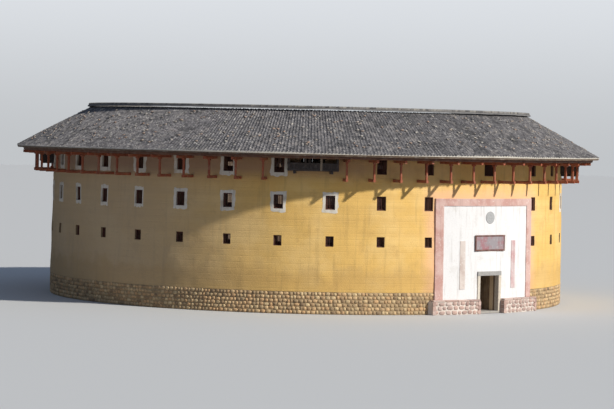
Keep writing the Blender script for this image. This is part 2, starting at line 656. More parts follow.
def beams(starts, ends, width, depth, up=UP, chamfer=0.006, seed=0):
    """Straight timbers. Each is an eight-sided section, a rectangle with its corners cut, half the width
    across and half the depth along up, drawn from its start to its end. Grain holds the place along, across
    and up in each timber, moved by a random step, and tone one random shade a timber."""
    starts, ends = np.broadcast_arrays(np.atleast_2d(starts).astype(float), np.atleast_2d(ends).astype(float))
    count = len(starts)
    rng = np.random.default_rng(seed)
    way = ends - starts
    length = np.linalg.norm(way, axis=1, keepdims=True)
    way = way / length
    side = np.cross(way, np.broadcast_to(up, starts.shape))
    side /= np.linalg.norm(side, axis=1, keepdims=True)
    top = np.cross(side, way)
    a, b = (np.broadcast_to(np.asarray(size, float) / 2, (count,))[:, None] for size in (width, depth))
    cut = np.minimum(chamfer, 0.45 * np.minimum(a, b))
    across = np.concatenate([a, a - cut, cut - a, -a, -a, cut - a, a - cut, a], axis=1)
    upward = np.concatenate([b - cut, b, b, b - cut, cut - b, -b, -b, cut - b], axis=1)
    section = across[..., None] * side[:, None] + upward[..., None] * top[:, None]
    points = np.concatenate([starts[:, None] + section, ends[:, None] + section], axis=1)
    far = np.concatenate([np.zeros((count, 8)), np.broadcast_to(length, (count, 8))], axis=1)
    grain = np.stack([far, np.tile(across, 2), np.tile(upward, 2)], axis=-1) + rng.uniform(0, 30, (count, 1, 3))
    ends = [np.arange(8), np.arange(15, 7, -1)]
    faces = [copies(part, count, 16) for part in (quads(2, 8, wrap=True)[:, [0, 3, 2, 1]], ends)]
    return points, faces, grain, np.repeat(rng.uniform(0, 1, count), 16)


def build_timber(name, dark, light, weathered, wear=0.5, relief=0.5):
    """Timber: bands of grain drawn out along each piece, a shade of its own for each piece, silver weathering
    in patches and fine checks along the grain."""
    material, tree, _ = new_material(name, 0.72, light)
    own, tone = own_marks(tree)
    drawn = shade(tree, "Mapping", {"Vector": own, "Scale": (0.09, 1.0, 1.0)}).outputs["Vector"]
    rings, checks = noise(tree, drawn, 34.0, 5.0, 0.6, 0.6), noise(tree, drawn, 95.0, 3.0, 0.7)
    colour = mixed(tree, ramp(tree, rings, 0.32, 0.68, kind="LINEAR"), dark, light)
    colour = mixed(tree, calculated(tree, "MULTIPLY", tone, 0.45), colour, dark)
    colour = coated(tree, own, colour, (mottle, weathered, 5.5, 0.46, 0.22, wear))
    colour = mixed(tree, ramp(tree, checks, 0.36, 0.28, kind="LINEAR"), colour, tinted(dark, 0.4))
    return finished(material, colour, calculated(tree, "MULTIPLY_ADD", checks, 0.6, rings), relief, 0.006)


def window_frame(bay, half, low, high, bars, seed):
    """Sill and head, then two jambs, then upright bars of one window, all on a line across the opening."""
    radius = wall_radius((low + high) / 2) - FRAME_SETBACK
    inset = FRAME_TIMBER / 2 + 0.001
    edge = half - 0.006
    jamb = edge - inset
    uprights = [-jamb, jamb, *np.linspace(-jamb, jamb, bars + 2)[1:-1]]
    shift = np.array([2 * inset] * 2 + [1.6 * inset] * bars)
    return beams(
        beside(bay, [-edge, -edge, *uprights], radius, [low + inset, high - inset, *(low + shift)]),
        beside(bay, [edge, edge, *uprights], radius, [low + inset, high - inset, *(high - shift)]),
        [FRAME_TIMBER * 1.4] * 2 + [FRAME_TIMBER] * 2 + [BAR_TIMBER] * bars,
        [FRAME_TIMBER] * 2 + [FRAME_TIMBER * 1.3] * 2 + [BAR_TIMBER] * bars,
        up=np.array([UP] * 2 + [outward(bay)] * len(uprights)), chamfer=0.003, seed=seed,
    )


painted_fir = build_timber(
    "red_brown_fir", (0.060, 0.018, 0.012), (0.15, 0.042, 0.028), (0.13, 0.085, 0.065), wear=0.3,
)
window_timbers = together(*(
    window_frame(bay, half, low, high, BARS[row], number)
    for number, (row, bay, half, low, high) in enumerate(OPENINGS) if row in BARS
))
add_piece("window_frames", window_timbers, [painted_fir])

# Roof tiles: grey clay, a curved pan in every trough and a curved cover over every joint, laid dry on boards
# in courses that overlap like scales. One cone sheds to the outside and one to the court, each in an east and
# a west half. Lime mortar closes the ends of the lowest course.
RIDGE_RADIUS = 8.10
RIDGE_UNDERSIDE = 6.7499
ROOF_SLOPE = 0.537
TILE_SECTION = ((0.0, 0.030), (0.27, 0.006), (0.5, 0.0), (0.73, 0.006))
TILE_BED = 0.074
TILE_PAN = 0.086
TILE_LIP = 0.011
TILE_SLIP = 0.006
TILE_LIFT = 0.0030
ROOF_SAG = 0.013
EAVES = {"outer": 10.80, "court": 5.75}
TILING = {
    "outer": (289, 29, ("roof_outer_front_{}", "roof_outer_back_{}")),
    "court": (187, 25, ("roof_court",)),
}


def roof_underside(radius):
    """Height of the rafters' underside: it falls from the ridge by the slope on both sides."""
    return RIDGE_UNDERSIDE - ROOF_SLOPE * np.abs(np.asarray(radius, float) - RIDGE_RADIUS)


def tile_sheet(from_bay, to_bay, eave, ribs, courses, seed):
    """One half of a pitch as a closed sheet. The top is a grid with four columns a rib, at the crest, the
    edge, the pan and the next edge, and two rows a course: the lower one stands a lip higher, so each course
    ends in a step. Old sag, uneven ribs and slipped tiles are added as noise. Tone has one value for each
    cover and each pan, and a mark of 1 is the lime at the eave."""
    rng = np.random.default_rng(seed)
    phase, rise = np.array(TILE_SECTION).T
    columns, rows = 4 * ribs + 1, 2 * courses
    column, course = np.arange(columns), np.arange(courses)
    inward = np.sign(RIDGE_RADIUS - eave)
    radius = eave + (RIDGE_RADIUS - eave) / courses * np.stack([course, course + 0.99], axis=1).reshape(-1)
    bay = from_bay + (to_bay - from_bay) * ((column // 4 + phase[column % 4]) / ribs)
    bay, radius = np.meshgrid(bay, radius)
    slip = rng.normal(0, TILE_SLIP, (rows, ribs + 1)).repeat(4, axis=1)[:, :columns]
    slip[1::2] = 0
    slip[0] = 0
    lift = rng.normal(0, TILE_LIFT, (courses, ribs + 1)).repeat(4, axis=1)[:, :columns].repeat(2, axis=0)
    lip = np.tile([TILE_LIP, 0.0], courses)[:, None]
    sag = ROOF_SAG * ripple(seed, bay, radius, 14, 7.0, 1.0)
    sag = sag * np.clip(np.abs(radius - RIDGE_RADIUS) / 0.4, 0, 1)
    height = roof_underside(radius) + TILE_PAN + rise[column % 4] + lip + lift + sag
    top = polar(bay, radius - slip * inward, height)
    low_bay, low_radius = np.meshgrid(bay[0], [eave, RIDGE_RADIUS - 0.002 * inward])
    bottom = polar(low_bay, low_radius, roof_underside(low_radius) + TILE_BED)
    index = np.arange((rows + 2) * columns).reshape(rows + 2, columns)
    upper, lower = quads(rows, columns), quads(2, columns, first=rows * columns)[:, ::-1]
    front, back = (
        np.stack([low[:-1], low[1:], high[1:], high[:-1]], axis=1)
        for low, high in ((index[-2], index[0]), (index[-3], index[-1]))
    )
    around = index[[rows, *range(rows), rows + 1]]
    sheet, ends = np.concatenate([upper, lower, front, back]), np.stack([around[:, 0], around[::-1, -1]])
    if inward > 0:
        sheet, ends = sheet[:, ::-1], ends[:, ::-1]
    cover = np.isin(column[:-1] % 4, (3, 0))
    tile = np.where(cover, 2 * (column[1:] // 4), 2 * (column[:-1] // 4) + 1)
    shades = rng.beta(1.6, 2.6, (courses + 1, 2 * ribs + 3))[(np.arange(1, rows) // 2)[:, None], tile].ravel()
    marks = np.zeros(len(sheet) + 2, int)
    marks[len(upper) + len(lower):][:len(front)] = 1
    tone = np.append(shades, np.full(len(marks) - len(shades), 0.3))
    return (np.concatenate([top.reshape(-1, 3), bottom.reshape(-1, 3)]), [sheet, ends], None, tone), marks


def build_tile(name, dark, light, lichen):
    """Old grey clay tile: a shade for each tile, soot and moss in the troughs of the noise, pale lichen and
    lime spots, and a fine pitted relief."""
    material, tree, place = new_material(name, 0.88, light)
    colour = coated(
        tree, place, mixed(tree, own_marks(tree)[1], dark, light),
        (mottle, tinted(dark, 0.5, 0.52, 0.5), 1.4, 0.47, 0.2, 0.55),
        (mottle, tinted(light, 1.15, 1.1, 1.02), 3.6, 0.52, 0.15, 0.6),
        (mottle, lichen, 9.5, 0.585, 0.05, 0.75),
    )
    return finished(material, colour, noise(tree, place, 60.0, 5.0, 0.7), 0.5, 0.01)


roof_clay = build_tile("grey_roof_tile", (0.075, 0.072, 0.078), (0.255, 0.243, 0.248), (0.46, 0.44, 0.41))
eave_lime = build_plaster("eave_lime", (0.55, 0.52, 0.46), (0.30, 0.27, 0.22), 0.8)
for pitch, (ribs, courses, nodes) in TILING.items():
    for number, side in enumerate(("east", "west")):
        from_bay = number * BAYS / 2
        sheet, marks = tile_sheet(
            from_bay, from_bay + BAYS / 2, EAVES[pitch], ribs, courses, 20 + number + len(pitch),
        )
        add_piece(
            f"roof_tiles_{pitch}_{side}", sheet, [roof_clay, eave_lime],
            [node.format(side) for node in nodes], smooth=42, marks=marks,
        )

# Weights: broken bricks and flat stones laid on the tiles so that storms don't lift them. They lie loose, the
# long way mostly across the slope, from a little above the eave to a little below the ridge.
WEIGHTS = {"outer": {"count": 760, "seed": 31}, "court": {"count": 260, "seed": 33}}
WEIGHT_SIZE = (0.085, 0.042, 0.026)


def roof_weights(eave, count, seed):
    """Small blocks that lie on the crests at random places of a pitch, each turned across the slope."""
    rng = np.random.default_rng(seed)
    inward = np.sign(RIDGE_RADIUS - eave)
    low, high = sorted((eave + 0.35 * inward, RIDGE_RADIUS - 0.25 * inward))
    radius = np.sqrt(rng.uniform(low ** 2, high ** 2, count))
    bay = rng.uniform(0, BAYS, count)
    turn = rng.normal(0, 0.35, count)
    length = WEIGHT_SIZE[0] * rng.uniform(0.6, 1.25, count)
    height = roof_underside(radius) + TILE_PAN + TILE_SECTION[0][1] + WEIGHT_SIZE[2] / 2
    half_bay, lean = length / 2 * np.cos(turn) / (radius * BAY), length / 2 * np.sin(turn)
    slope = ROOF_SLOPE * np.sign(radius - RIDGE_RADIUS)
    return beams(
        polar(bay - half_bay, radius - lean, height + slope * lean),
        polar(bay + half_bay, radius + lean, height - slope * lean),
        WEIGHT_SIZE[1] * rng.uniform(0.7, 1.3, count), WEIGHT_SIZE[2] * rng.uniform(0.7, 1.4, count),
        up=polar(bay, slope, 0.0) + np.array(UP), chamfer=0.007, seed=seed + 1,
    )


weight_stone = build_stone("roof_weights", (0.22, 0.20, 0.18), (0.50, 0.47, 0.42), (0.42, 0.26, 0.18), 0.9, 0.4)
weights = together(*(roof_weights(EAVES[pitch], **values) for pitch, values in WEIGHTS.items()))
add_piece("roof_weights", weights, [weight_stone], smooth=180)

# Ridge: a bed of lime mortar along the joint of the pitches, and on it saddle tiles, each lapping the next.
# The bed is thrown on wet and dark with soot, and the tiles are bedded in it a little out of line.
RIDGE_BED = ((-0.150, 6.880), (0.150, 6.880), (0.125, 6.925), (-0.125, 6.925))
SADDLE_COUNT = 442
SADDLE_SIZE = (0.205, 0.075)
SADDLE_MIDDLE = 6.952
SADDLE_TILT = 0.006
SADDLE_LAP = 0.53


def lathe(profile, segments, unevenness=0.0, seed=0):
    """A full ring: the closed profile of radius and height, anticlockwise with the axis on its left, carried
    round in equal steps. Grain holds the way along the ring, the radius and the height."""
    profile = np.asarray(profile, float)
    bay = np.linspace(0, BAYS, segments, endpoint=False)[:, None]
    radius = np.broadcast_to(profile[:, 0], (segments, len(profile)))
    height = profile[:, 1] + unevenness * ripple(seed, bay, profile[:, 1], 10, 3.0, 0.4)
    grain = np.stack([np.broadcast_to(bay * BAY * profile[:, 0].mean(), radius.shape), radius, height], axis=-1)
    faces = quads(segments, len(profile), wrap=True, close=True)[:, [0, 3, 2, 1]]
    return polar(bay, radius, height), [faces], grain, np.full(radius.size, 0.5)


ridge_lime = build_plaster("ridge_lime", (0.17, 0.166, 0.165), (0.10, 0.096, 0.094), 0.8)
ridge_bed = lathe([(RIDGE_RADIUS + across, z) for across, z in RIDGE_BED], 8 * BAYS, 0.008, 41)
add_piece("ridge_bed", ridge_bed[:2], [ridge_lime], ("roof_ridge",), smooth=35)
saddle_clay = build_stone("ridge_tile", (0.085, 0.082, 0.085), (0.24, 0.23, 0.225), (0.34, 0.32, 0.28), 0.88)
saddle_bay = np.arange(SADDLE_COUNT) * BAYS / SADDLE_COUNT
saddle_reach = SADDLE_LAP * BAYS / SADDLE_COUNT
saddle_radius = RIDGE_RADIUS + np.random.default_rng(43).normal(0, 0.004, SADDLE_COUNT)
saddle_ends = (
    polar(saddle_bay + side * saddle_reach, saddle_radius, SADDLE_MIDDLE + side * SADDLE_TILT)
    for side in (-1, 1)
)
saddles = beams(*saddle_ends, *SADDLE_SIZE, chamfer=0.033, seed=44)
add_piece("ridge_tiles", saddles, [saddle_clay], smooth=50)

# Rafters and boards: squared fir rafters with their edges taken off, from the ridge purlin to the eave, thin
# boards across them under the tiles, and an eave board nailed to their ends.
RAFTER_WIDTH = 0.045
RAFTER_DEPTH = 0.050
RAFTERS_A_BAY = {"outer": 10, "court": 7}
BOARD_ROWS = 18
BOARD_THICKNESS = 0.012
EAVE_BOARD = {"inset": 0.032, "half": 0.010, "low": 0.018, "high": TILE_BED + 0.012}


def rafters(eave, a_bay, seed):
    """Rafters on even spacing down a pitch, their undersides on the roof's underside."""
    bay = (np.arange(a_bay * BAYS) + 0.5) / a_bay
    inward = np.sign(RIDGE_RADIUS - eave)
    middle = RAFTER_DEPTH / 2 * math.hypot(1, ROOF_SLOPE)
    ends = (
        polar(bay, radius, roof_underside(radius) + middle)
        for radius in (RIDGE_RADIUS - 0.03 * inward, eave + 0.045 * inward)
    )
    return beams(*ends, RAFTER_WIDTH, RAFTER_DEPTH, chamfer=0.009, seed=seed)


def sheathing(eave):
    """Boards round a pitch as one thin closed cone: a profile down the slope and back, in steps a board
    wide."""
    radii = np.linspace(RIDGE_RADIUS + 0.01 * np.sign(eave - RIDGE_RADIUS), eave, BOARD_ROWS)
    low = roof_underside(radii) + RAFTER_DEPTH * math.hypot(1, ROOF_SLOPE) + 0.001
    profile = np.stack([np.append(radii, radii[::-1]), np.append(low, low[::-1] + BOARD_THICKNESS)], axis=1)
    return lathe(profile if eave > RIDGE_RADIUS else profile[::-1], 6 * BAYS)


def ring_profile(inner, outer, low, high):
    """A rectangle between two radii and two heights."""
    return [(inner, low), (outer, low), (outer, high), (inner, high)]


def eave_board(eave):
    """A board on edge round an eave, just behind the rafters' ends."""
    middle = eave + EAVE_BOARD["inset"] * np.sign(RIDGE_RADIUS - eave)
    low, high = (roof_underside(eave) + EAVE_BOARD[edge] for edge in ("low", "high"))
    return lathe(ring_profile(middle - EAVE_BOARD["half"], middle + EAVE_BOARD["half"], low, high), 8 * BAYS)


rafter_fir = build_timber("rafter_fir", (0.10, 0.062, 0.038), (0.27, 0.17, 0.10), (0.23, 0.19, 0.15), wear=0.35)
weathered_fir = build_timber("weathered_fir", (0.085, 0.055, 0.036), (0.23, 0.155, 0.10), (0.30, 0.27, 0.235))
rafter_runs = [rafters(EAVES[pitch], RAFTERS_A_BAY[pitch], 51 + number) for number, pitch in enumerate(EAVES)]
for name, runs, fir in (
    ("rafters", rafter_runs, rafter_fir),
    ("roof_boards", [sheathing(eave) for eave in EAVES.values()], rafter_fir),
    ("eave_boards", [eave_board(eave) for eave in EAVES.values()], weathered_fir),
):
    add_piece(name, together(*runs), [fir])

# Eave brackets: pairs beside every window of the top storey, painted orange-red. A low arm out of the wall
# carries a short post, the post and a long upper arm carry the eave purlin, and pegs hold the crossings.
BRACKET_TIMBER = 0.080
BRACKET_ARM = 0.100
LOW_ARM = 4.525
TOP_ARM = 5.175
BRACKET_POST = (10.05, 10.14)
BRACKET_REACH = 10.575
PURLIN_WIDTH = 0.100
LOOKOUT_WIDTH = 1.70
PEG = 0.022
QUARTERS = ("front_east", "back_east", "back_west", "front_west")


def bracket_shapes(bays):
    """Every bracket's timbers: low arm, upper arm, post, cap block and two pegs, from the wall outwards."""
    wall = WALL_FOOT_RADIUS - 0.13
    post, post_depth = sum(BRACKET_POST) / 2, BRACKET_POST[1] - BRACKET_POST[0]
    foot, head, block = LOW_ARM + BRACKET_ARM / 2 - 0.002, TOP_ARM - BRACKET_ARM / 2 - 0.05, TOP_ARM - 0.076
    parts = [
        beams(polar(bays, *start), polar(bays, *end), width, depth, up, chamfer, seed)
        for seed, (start, end, width, depth, up, chamfer) in enumerate((
            ((wall, LOW_ARM), (BRACKET_POST[1] + 0.03, LOW_ARM), BRACKET_TIMBER, BRACKET_ARM, UP, 0.012),
            ((wall, TOP_ARM), (BRACKET_REACH, TOP_ARM), BRACKET_TIMBER, BRACKET_ARM, UP, 0.012),
            ((post, foot), (post, head), BRACKET_TIMBER * 0.86, post_depth * 0.86, outward(bays), 0.012),
            ((post - 0.075, block), (post + 0.075, block), BRACKET_TIMBER * 1.05, 0.052, UP, 0.018),
        ), 61)
    ]
    side = along(bays) * (BRACKET_TIMBER / 2 + 0.006)
    for seed, z in ((65, LOW_ARM), (66, TOP_ARM)):
        middle = polar(bays, post, z)
        parts.append(beams(middle - side, middle + side, PEG, PEG, chamfer=0.007, seed=seed))
    return together(*parts)


def log_profile(radius, middle, half_width, half_height):
    """An ellipse of twelve points about a radius and a height, anticlockwise, as a log's section."""
    turn = 2 * math.pi * (np.arange(12) + 0.5) / 12
    return np.stack([radius + half_width * np.cos(turn), middle + half_height * np.sin(turn)], axis=1)


orange_red = build_timber(
    "orange_red_timber", (0.25, 0.060, 0.030), (0.49, 0.142, 0.062), (0.37, 0.205, 0.13), wear=0.6, relief=0.35,
)
bracket_bays = np.arange(BAYS * 2) / 2 + 0.25
lookout_reach = LOOKOUT_WIDTH / 2 / (WALL_FOOT_RADIUS * BAY) + 0.05
from_lookout = np.abs(bracket_bays - np.array(LOOKOUT_BAYS)[:, None]).min(axis=0)
add_piece(
    "eave_brackets", bracket_shapes(bracket_bays[from_lookout > lookout_reach]), [orange_red],
    [f"eave_brackets_{quarter}" for quarter in QUARTERS],
)
purlin_fir = build_timber("purlin_fir", (0.075, 0.034, 0.022), (0.20, 0.085, 0.05), (0.19, 0.14, 0.11))
purlin_low = TOP_ARM + BRACKET_ARM / 2
purlin_top = float(roof_underside(BRACKET_REACH)) - 0.003
purlin = log_profile(
    BRACKET_REACH - PURLIN_WIDTH / 2, (purlin_low + purlin_top) / 2, 0.052,
    (purlin_top - purlin_low) / 2 + 0.006,
)
add_piece("eave_purlin", lathe(purlin, 8 * BAYS, 0.003, 67), [purlin_fir], smooth=50)

# Lookouts: small boarded bays that hang under the eave on two beams, dark with age, with three sights in
# front and one at each end. Boards are nailed upright to a sill and a rail, and one post is of newer, paler
# wood.
LOOKOUT_FRONT = 10.05
LOOKOUT_BASE = 4.80
LOOKOUT_BOARD = 0.032
BOARD_WIDTH = 0.118
FRONT_BOARDS = 14
SIGHT_LOW = 5.055
SIGHT_HIGH = 5.445
SIGHT_POST = 0.265
SIDE_SIGHT = (9.615, 9.985)
LOOKOUT_BEAM = (0.075, 0.090)
LOOKOUT_BEAM_SHIFT = 0.34
LOOKOUT_POST = 0.070


def boards(bay, across, radius, low, high, facing, seed, width=BOARD_WIDTH):
    """Upright boards side by side from low to high, their middles at the places across and radius."""
    ends = (beside(bay, across, radius, z) for z in (low, high))
    return beams(*ends, width * 0.955, LOOKOUT_BOARD * 0.8, up=facing, chamfer=0.004, seed=seed)


def lookout_shapes(bay, seed):
    """The timbers of one lookout: two beams, floor boards, posts, rails and boards, and the pale post by
    itself."""
    half = LOOKOUT_WIDTH / 2
    wall = WALL_FOOT_RADIUS - 0.10
    roof = float(roof_underside(LOOKOUT_FRONT)) - 0.004
    level = LOOKOUT_BASE - LOOKOUT_BEAM[1] / 2 - 0.001
    dark = [
        beams(polar(turned, wall - 0.05, level), polar(turned, LOOKOUT_FRONT + 0.02, level), *LOOKOUT_BEAM,
              seed=seed + side + 5)
        for side, turned in ((side, bay + side * LOOKOUT_BEAM_SHIFT) for side in (-1, 1))
    ]
    floor_radii = np.linspace(wall + 0.05, LOOKOUT_FRONT - 0.07, 6)
    floor_ends = (beside(bay, [u] * 6, floor_radii, LOOKOUT_BASE + 0.016) for u in (0.01 - half, half - 0.01))
    dark.append(beams(*floor_ends, BOARD_WIDTH, LOOKOUT_BOARD, chamfer=0.004, seed=seed + 1))
    post = LOOKOUT_POST / 2
    corners = [
        (side * (half - post), radius) for radius in (LOOKOUT_FRONT - post, wall + 0.03) for side in (-1, 1)
    ]
    for u, radius in (*corners, (-SIGHT_POST, LOOKOUT_FRONT - post)):
        ends = (beside(bay, u, radius, z) for z in (LOOKOUT_BASE, float(roof_underside(radius)) - 0.01))
        dark.append(beams(*ends, LOOKOUT_POST, LOOKOUT_POST, up=outward(bay), seed=seed + 9))
    levels = (LOOKOUT_BASE + 0.02, roof - 0.01)
    ends = (beside(bay, SIGHT_POST, LOOKOUT_FRONT - post + 0.012, z) for z in levels)
    pale = beams(*ends, LOOKOUT_POST, LOOKOUT_POST, up=outward(bay), seed=seed + 10)
    front = LOOKOUT_FRONT - LOOKOUT_BOARD / 2
    sides = (LOOKOUT_BOARD / 2 - half, half - LOOKOUT_BOARD / 2)
    for z, depth in ((SIGHT_LOW, 0.04), (SIGHT_HIGH, 0.04), (LOOKOUT_BASE + 0.05, 0.05)):
        ends = (beside(bay, u, front, z) for u in (-half, half))
        dark.append(beams(*ends, 0.045, depth, seed=seed + 11))
        for u in sides:
            ends = (beside(bay, u, radius, z) for radius in (wall, LOOKOUT_FRONT))
            dark.append(beams(*ends, 0.045, depth, seed=seed + 12))
    foot = LOOKOUT_BASE + 0.03
    across = (np.arange(FRONT_BOARDS) + 0.5) / FRONT_BOARDS * 2 * half - half
    for low, high in ((foot, SIGHT_LOW), (SIGHT_HIGH, roof - 0.01)):
        dark.append(boards(bay, across, front, low, high, outward(bay), seed + 13, 2 * half / FRONT_BOARDS))
    for u in sides:
        for radius in np.arange(wall + 0.08, LOOKOUT_FRONT - 0.08, BOARD_WIDTH):
            top = float(roof_underside(radius + 0.06)) - 0.004
            seen = SIDE_SIGHT[0] < radius < SIDE_SIGHT[1]
            for low, high in ((foot, SIGHT_LOW), (SIGHT_HIGH, top)) if seen else ((foot, top),):
                dark.append(boards(bay, [u], radius, low, high, along(bay), seed + int(radius * 100)))
    return together(*dark), pale


old_boards = build_timber(
    "old_dark_boards", (0.030, 0.022, 0.020), (0.085, 0.065, 0.055), (0.13, 0.115, 0.11), wear=0.4, relief=0.6,
)
new_post = build_timber("pale_post", (0.25, 0.19, 0.13), (0.42, 0.34, 0.25), (0.36, 0.33, 0.29), wear=0.4)
for number, lookout_bay in enumerate(LOOKOUT_BAYS, 1):
    dark, pale = lookout_shapes(lookout_bay, 50 + 20 * number)
    add_piece(f"lookout_boards_{number}", dark, [old_boards], (f"lookout_{number}",))
    add_piece(f"lookout_post_{number}", pale, [new_post])

# Gate panel: a smooth coat of white lime plaster round the gate, brought out from the earth wall so that it
# shows from far off. Rain has greyed it and lifted its edges. It follows the curve and the batter of the
# wall.
PANEL_HALF = 2.05
PANEL_LOW = 0.5004
PANEL_TOP = 3.70
PANEL_PROUD = 0.030
GATE_CLEAR_HALF = 0.5753
GATE_CLEAR_TOP = 1.4503
COAT_SUNK = 0.02


def front_patch(x_lines, z_lines, proud, sunk, solid=None, roughness=0.0, seed=0):
    """A closed coat on the wall's face round the gate. Points lie on lines of x and z, at y = -sqrt(r^2 - x^2)
    with r the wall's radius plus the coat's thickness, and a mask says which cells are coated."""
    x, z = np.meshgrid(x_lines, z_lines)
    rough = roughness * ripple(seed, x / (WALL_FOOT_RADIUS * BAY), z, 26, 1.6, 0.25) if roughness else 0.0
    if solid is None:
        solid = np.ones((len(z_lines) - 1, len(x_lines) - 1), bool)
    front, back = (
        np.stack([x, -np.sqrt((wall_radius(z) + offset) ** 2 - x ** 2), z], axis=-1)
        for offset in (proud + rough, -sunk)
    )
    return shell_from_mask(front, back, np.hstack([solid, np.zeros((len(solid), 1), bool)]))[:2]


def coat_round(hole_half, hole_top, half, top, step, lap=0.0, **finish):
    """A coat over the gate's side from the plinths to a top, with a hole in its foot whose edges are moved by
    a lap."""
    x = spread([-hole_half - lap, hole_half + lap], -half, half, step)
    z = spread([hole_top + lap], PANEL_LOW, top, step)
    hole = (np.abs(middles(x)) < hole_half) & (middles(z)[:, None] < hole_top)
    return front_patch(x, z, sunk=COAT_SUNK, solid=~hole, **finish)


panel_plaster = build_plaster("panel_plaster", (0.77, 0.77, 0.78), (0.62, 0.60, 0.58), 0.5)
panel = coat_round(
    GATE_CLEAR_HALF, GATE_CLEAR_TOP, PANEL_HALF, PANEL_TOP, 0.085, proud=PANEL_PROUD, roughness=0.0022, seed=81,
)
add_piece("gate_panel_coat", panel, [panel_plaster], ("gate_panel",), smooth=50)

# Border: a raised fillet of lime plaster round the panel on three sides. It is painted with brick-red
# limewash, which has faded to a chalky pink.
BORDER_HALF = 2.3625
BORDER_TOP = 3.95
BORDER_PROUD = 0.055


def build_limewash(name, deep, faded, bare):
    """Coloured limewash: a deep colour that has faded in clouds, worn through to the plaster in flecks."""
    material, tree, place = new_material(name, 0.92, faded)
    colour = coated(
        tree, place, faded,
        (mottle, deep, 2.2, 0.44, 0.2, 0.75),
        (mottle, bare, 13.0, 0.60, 0.05, 0.7),
        (rain_streaks, tinted(deep, 0.6, 0.7, 0.7), 8.0, 0.55, 0.18, 0.4),
    )
    return finished(material, colour, noise(tree, place, 22.0, 6.0, 0.65), 0.35, 0.015)


brick_limewash = build_limewash("brick_limewash", (0.50, 0.27, 0.235), (0.62, 0.43, 0.39), (0.76, 0.65, 0.61))
border = coat_round(
    PANEL_HALF, PANEL_TOP, BORDER_HALF, BORDER_TOP, 0.08, lap=0.001, proud=BORDER_PROUD, roughness=0.003,
    seed=83,
)
add_piece("gate_border_band", border, [brick_limewash], ("gate_border",), smooth=50)

# Plinths: rubble of pinkish-brown stone at the feet of the panel, in lime mortar, under a course of flat
# caps, with a dressed quoin at each end of every course.
PLINTH_HALF = 2.5625
PLINTH_TOP = 0.5
PLINTH_RADIUS = 9.725
PLINTH_CAP = 0.055
PLINTH_COURSES = 3
PLINTH_WIDEST = 0.30
QUOIN_WIDTH = 0.115
plinth_stone = build_stone(
    "plinth_stone", (0.36, 0.24, 0.21), (0.62, 0.50, 0.45), (0.55, 0.37, 0.31), speck=0.35,
)
plinth_mortar = build_plaster("plinth_mortar", (0.72, 0.65, 0.59), (0.48, 0.41, 0.35), 0.6)
rubble_top = PLINTH_TOP - PLINTH_CAP
for side, name in ((-1, "west"), (1, "east")):
    limits = sorted((side * GATE_CLEAR_HALF, side * PLINTH_HALF))
    first, last = (math.asin(x / PLINTH_RADIUS) / BAY + shift for x, shift in zip(limits, (0.003, -0.003)))
    core = front_patch(
        np.linspace(*limits, 15), np.linspace(0.0, rubble_top + 0.01, 4),
        PLINTH_RADIUS - WALL_FOOT_RADIUS - 0.022, COAT_SUNK,
    )
    rubble = cobble_courses(first, last, COURSE_GAP, rubble_top, PLINTH_COURSES, PLINTH_WIDEST, 85 + side)
    rubble = cobbles(rubble, PLINTH_RADIUS - COBBLE_PROUD, COBBLE_PROUD, 88 + side)
    cap_edges = np.linspace(first, last, 5)
    cap_radius, cap_level = (PLINTH_RADIUS + WALL_FOOT_RADIUS) / 2 - 0.01, PLINTH_TOP - PLINTH_CAP / 2
    caps = beams(
        polar(cap_edges[:-1] + 0.006, cap_radius, cap_level),
        polar(cap_edges[1:] - 0.006, cap_radius, cap_level),
        PLINTH_RADIUS - WALL_FOOT_RADIUS + 0.02, PLINTH_CAP, chamfer=0.008, seed=90 + side,
    )
    quoin_bay = np.tile([first + 0.028, last - 0.028], PLINTH_COURSES)
    quoin_z = middles(np.linspace(0, rubble_top, PLINTH_COURSES + 1)).repeat(2)
    quoins = beams(
        polar(quoin_bay, WALL_FOOT_RADIUS - 0.02, quoin_z), polar(quoin_bay, PLINTH_RADIUS + 0.004, quoin_z),
        QUOIN_WIDTH, rubble_top / PLINTH_COURSES - 0.006, chamfer=0.014, seed=96 + side,
    )
    add_piece(f"gate_plinth_{name}_mortar", core, [plinth_mortar], (f"gate_plinth_{name}",))
    add_piece(f"gate_plinth_{name}_stones", rubble, [plinth_stone], smooth=180)
    add_piece(f"gate_plinth_{name}_caps", together(caps, quoins), [plinth_stone])

# Door frame: dressed granite, pale jambs under a grey lintel, with chisel marks and rubbed edges. Behind each
# jamb come a brown timber stop and a reveal of tan plaster. The threshold is one long slab.
FRAME_FRONT = 9.54
JAMB_BACK = 9.34
STOP_BACK = 9.28
FRAME_BACK = 9.10
HEAD_BACK = 9.025
DOOR_HALF = 0.45
FRAME_HALF = 0.575
THRESHOLD_TOP = 0.075
LINTEL = (1.30, 1.45)
HEAD_UNDERSIDE = 1.33
STOP_PROUD = 0.004


def block(low, high, chamfer=0.008, seed=0):
    """A dressed block between two opposite corners, in either order along x, drawn along its longest side."""
    low, high = np.minimum(low, high), np.maximum(low, high)
    size = high - low
    longest = int(np.argmax(size))
    start, end = ((low + high) / 2 for _ in range(2))
    start[longest], end[longest] = low[longest], high[longest]
    width, depth = np.delete(size, longest)
    up = UP if longest != 2 else (0.0, 1.0, 0.0)
    return beams(start, end, width, depth, up, chamfer, seed)


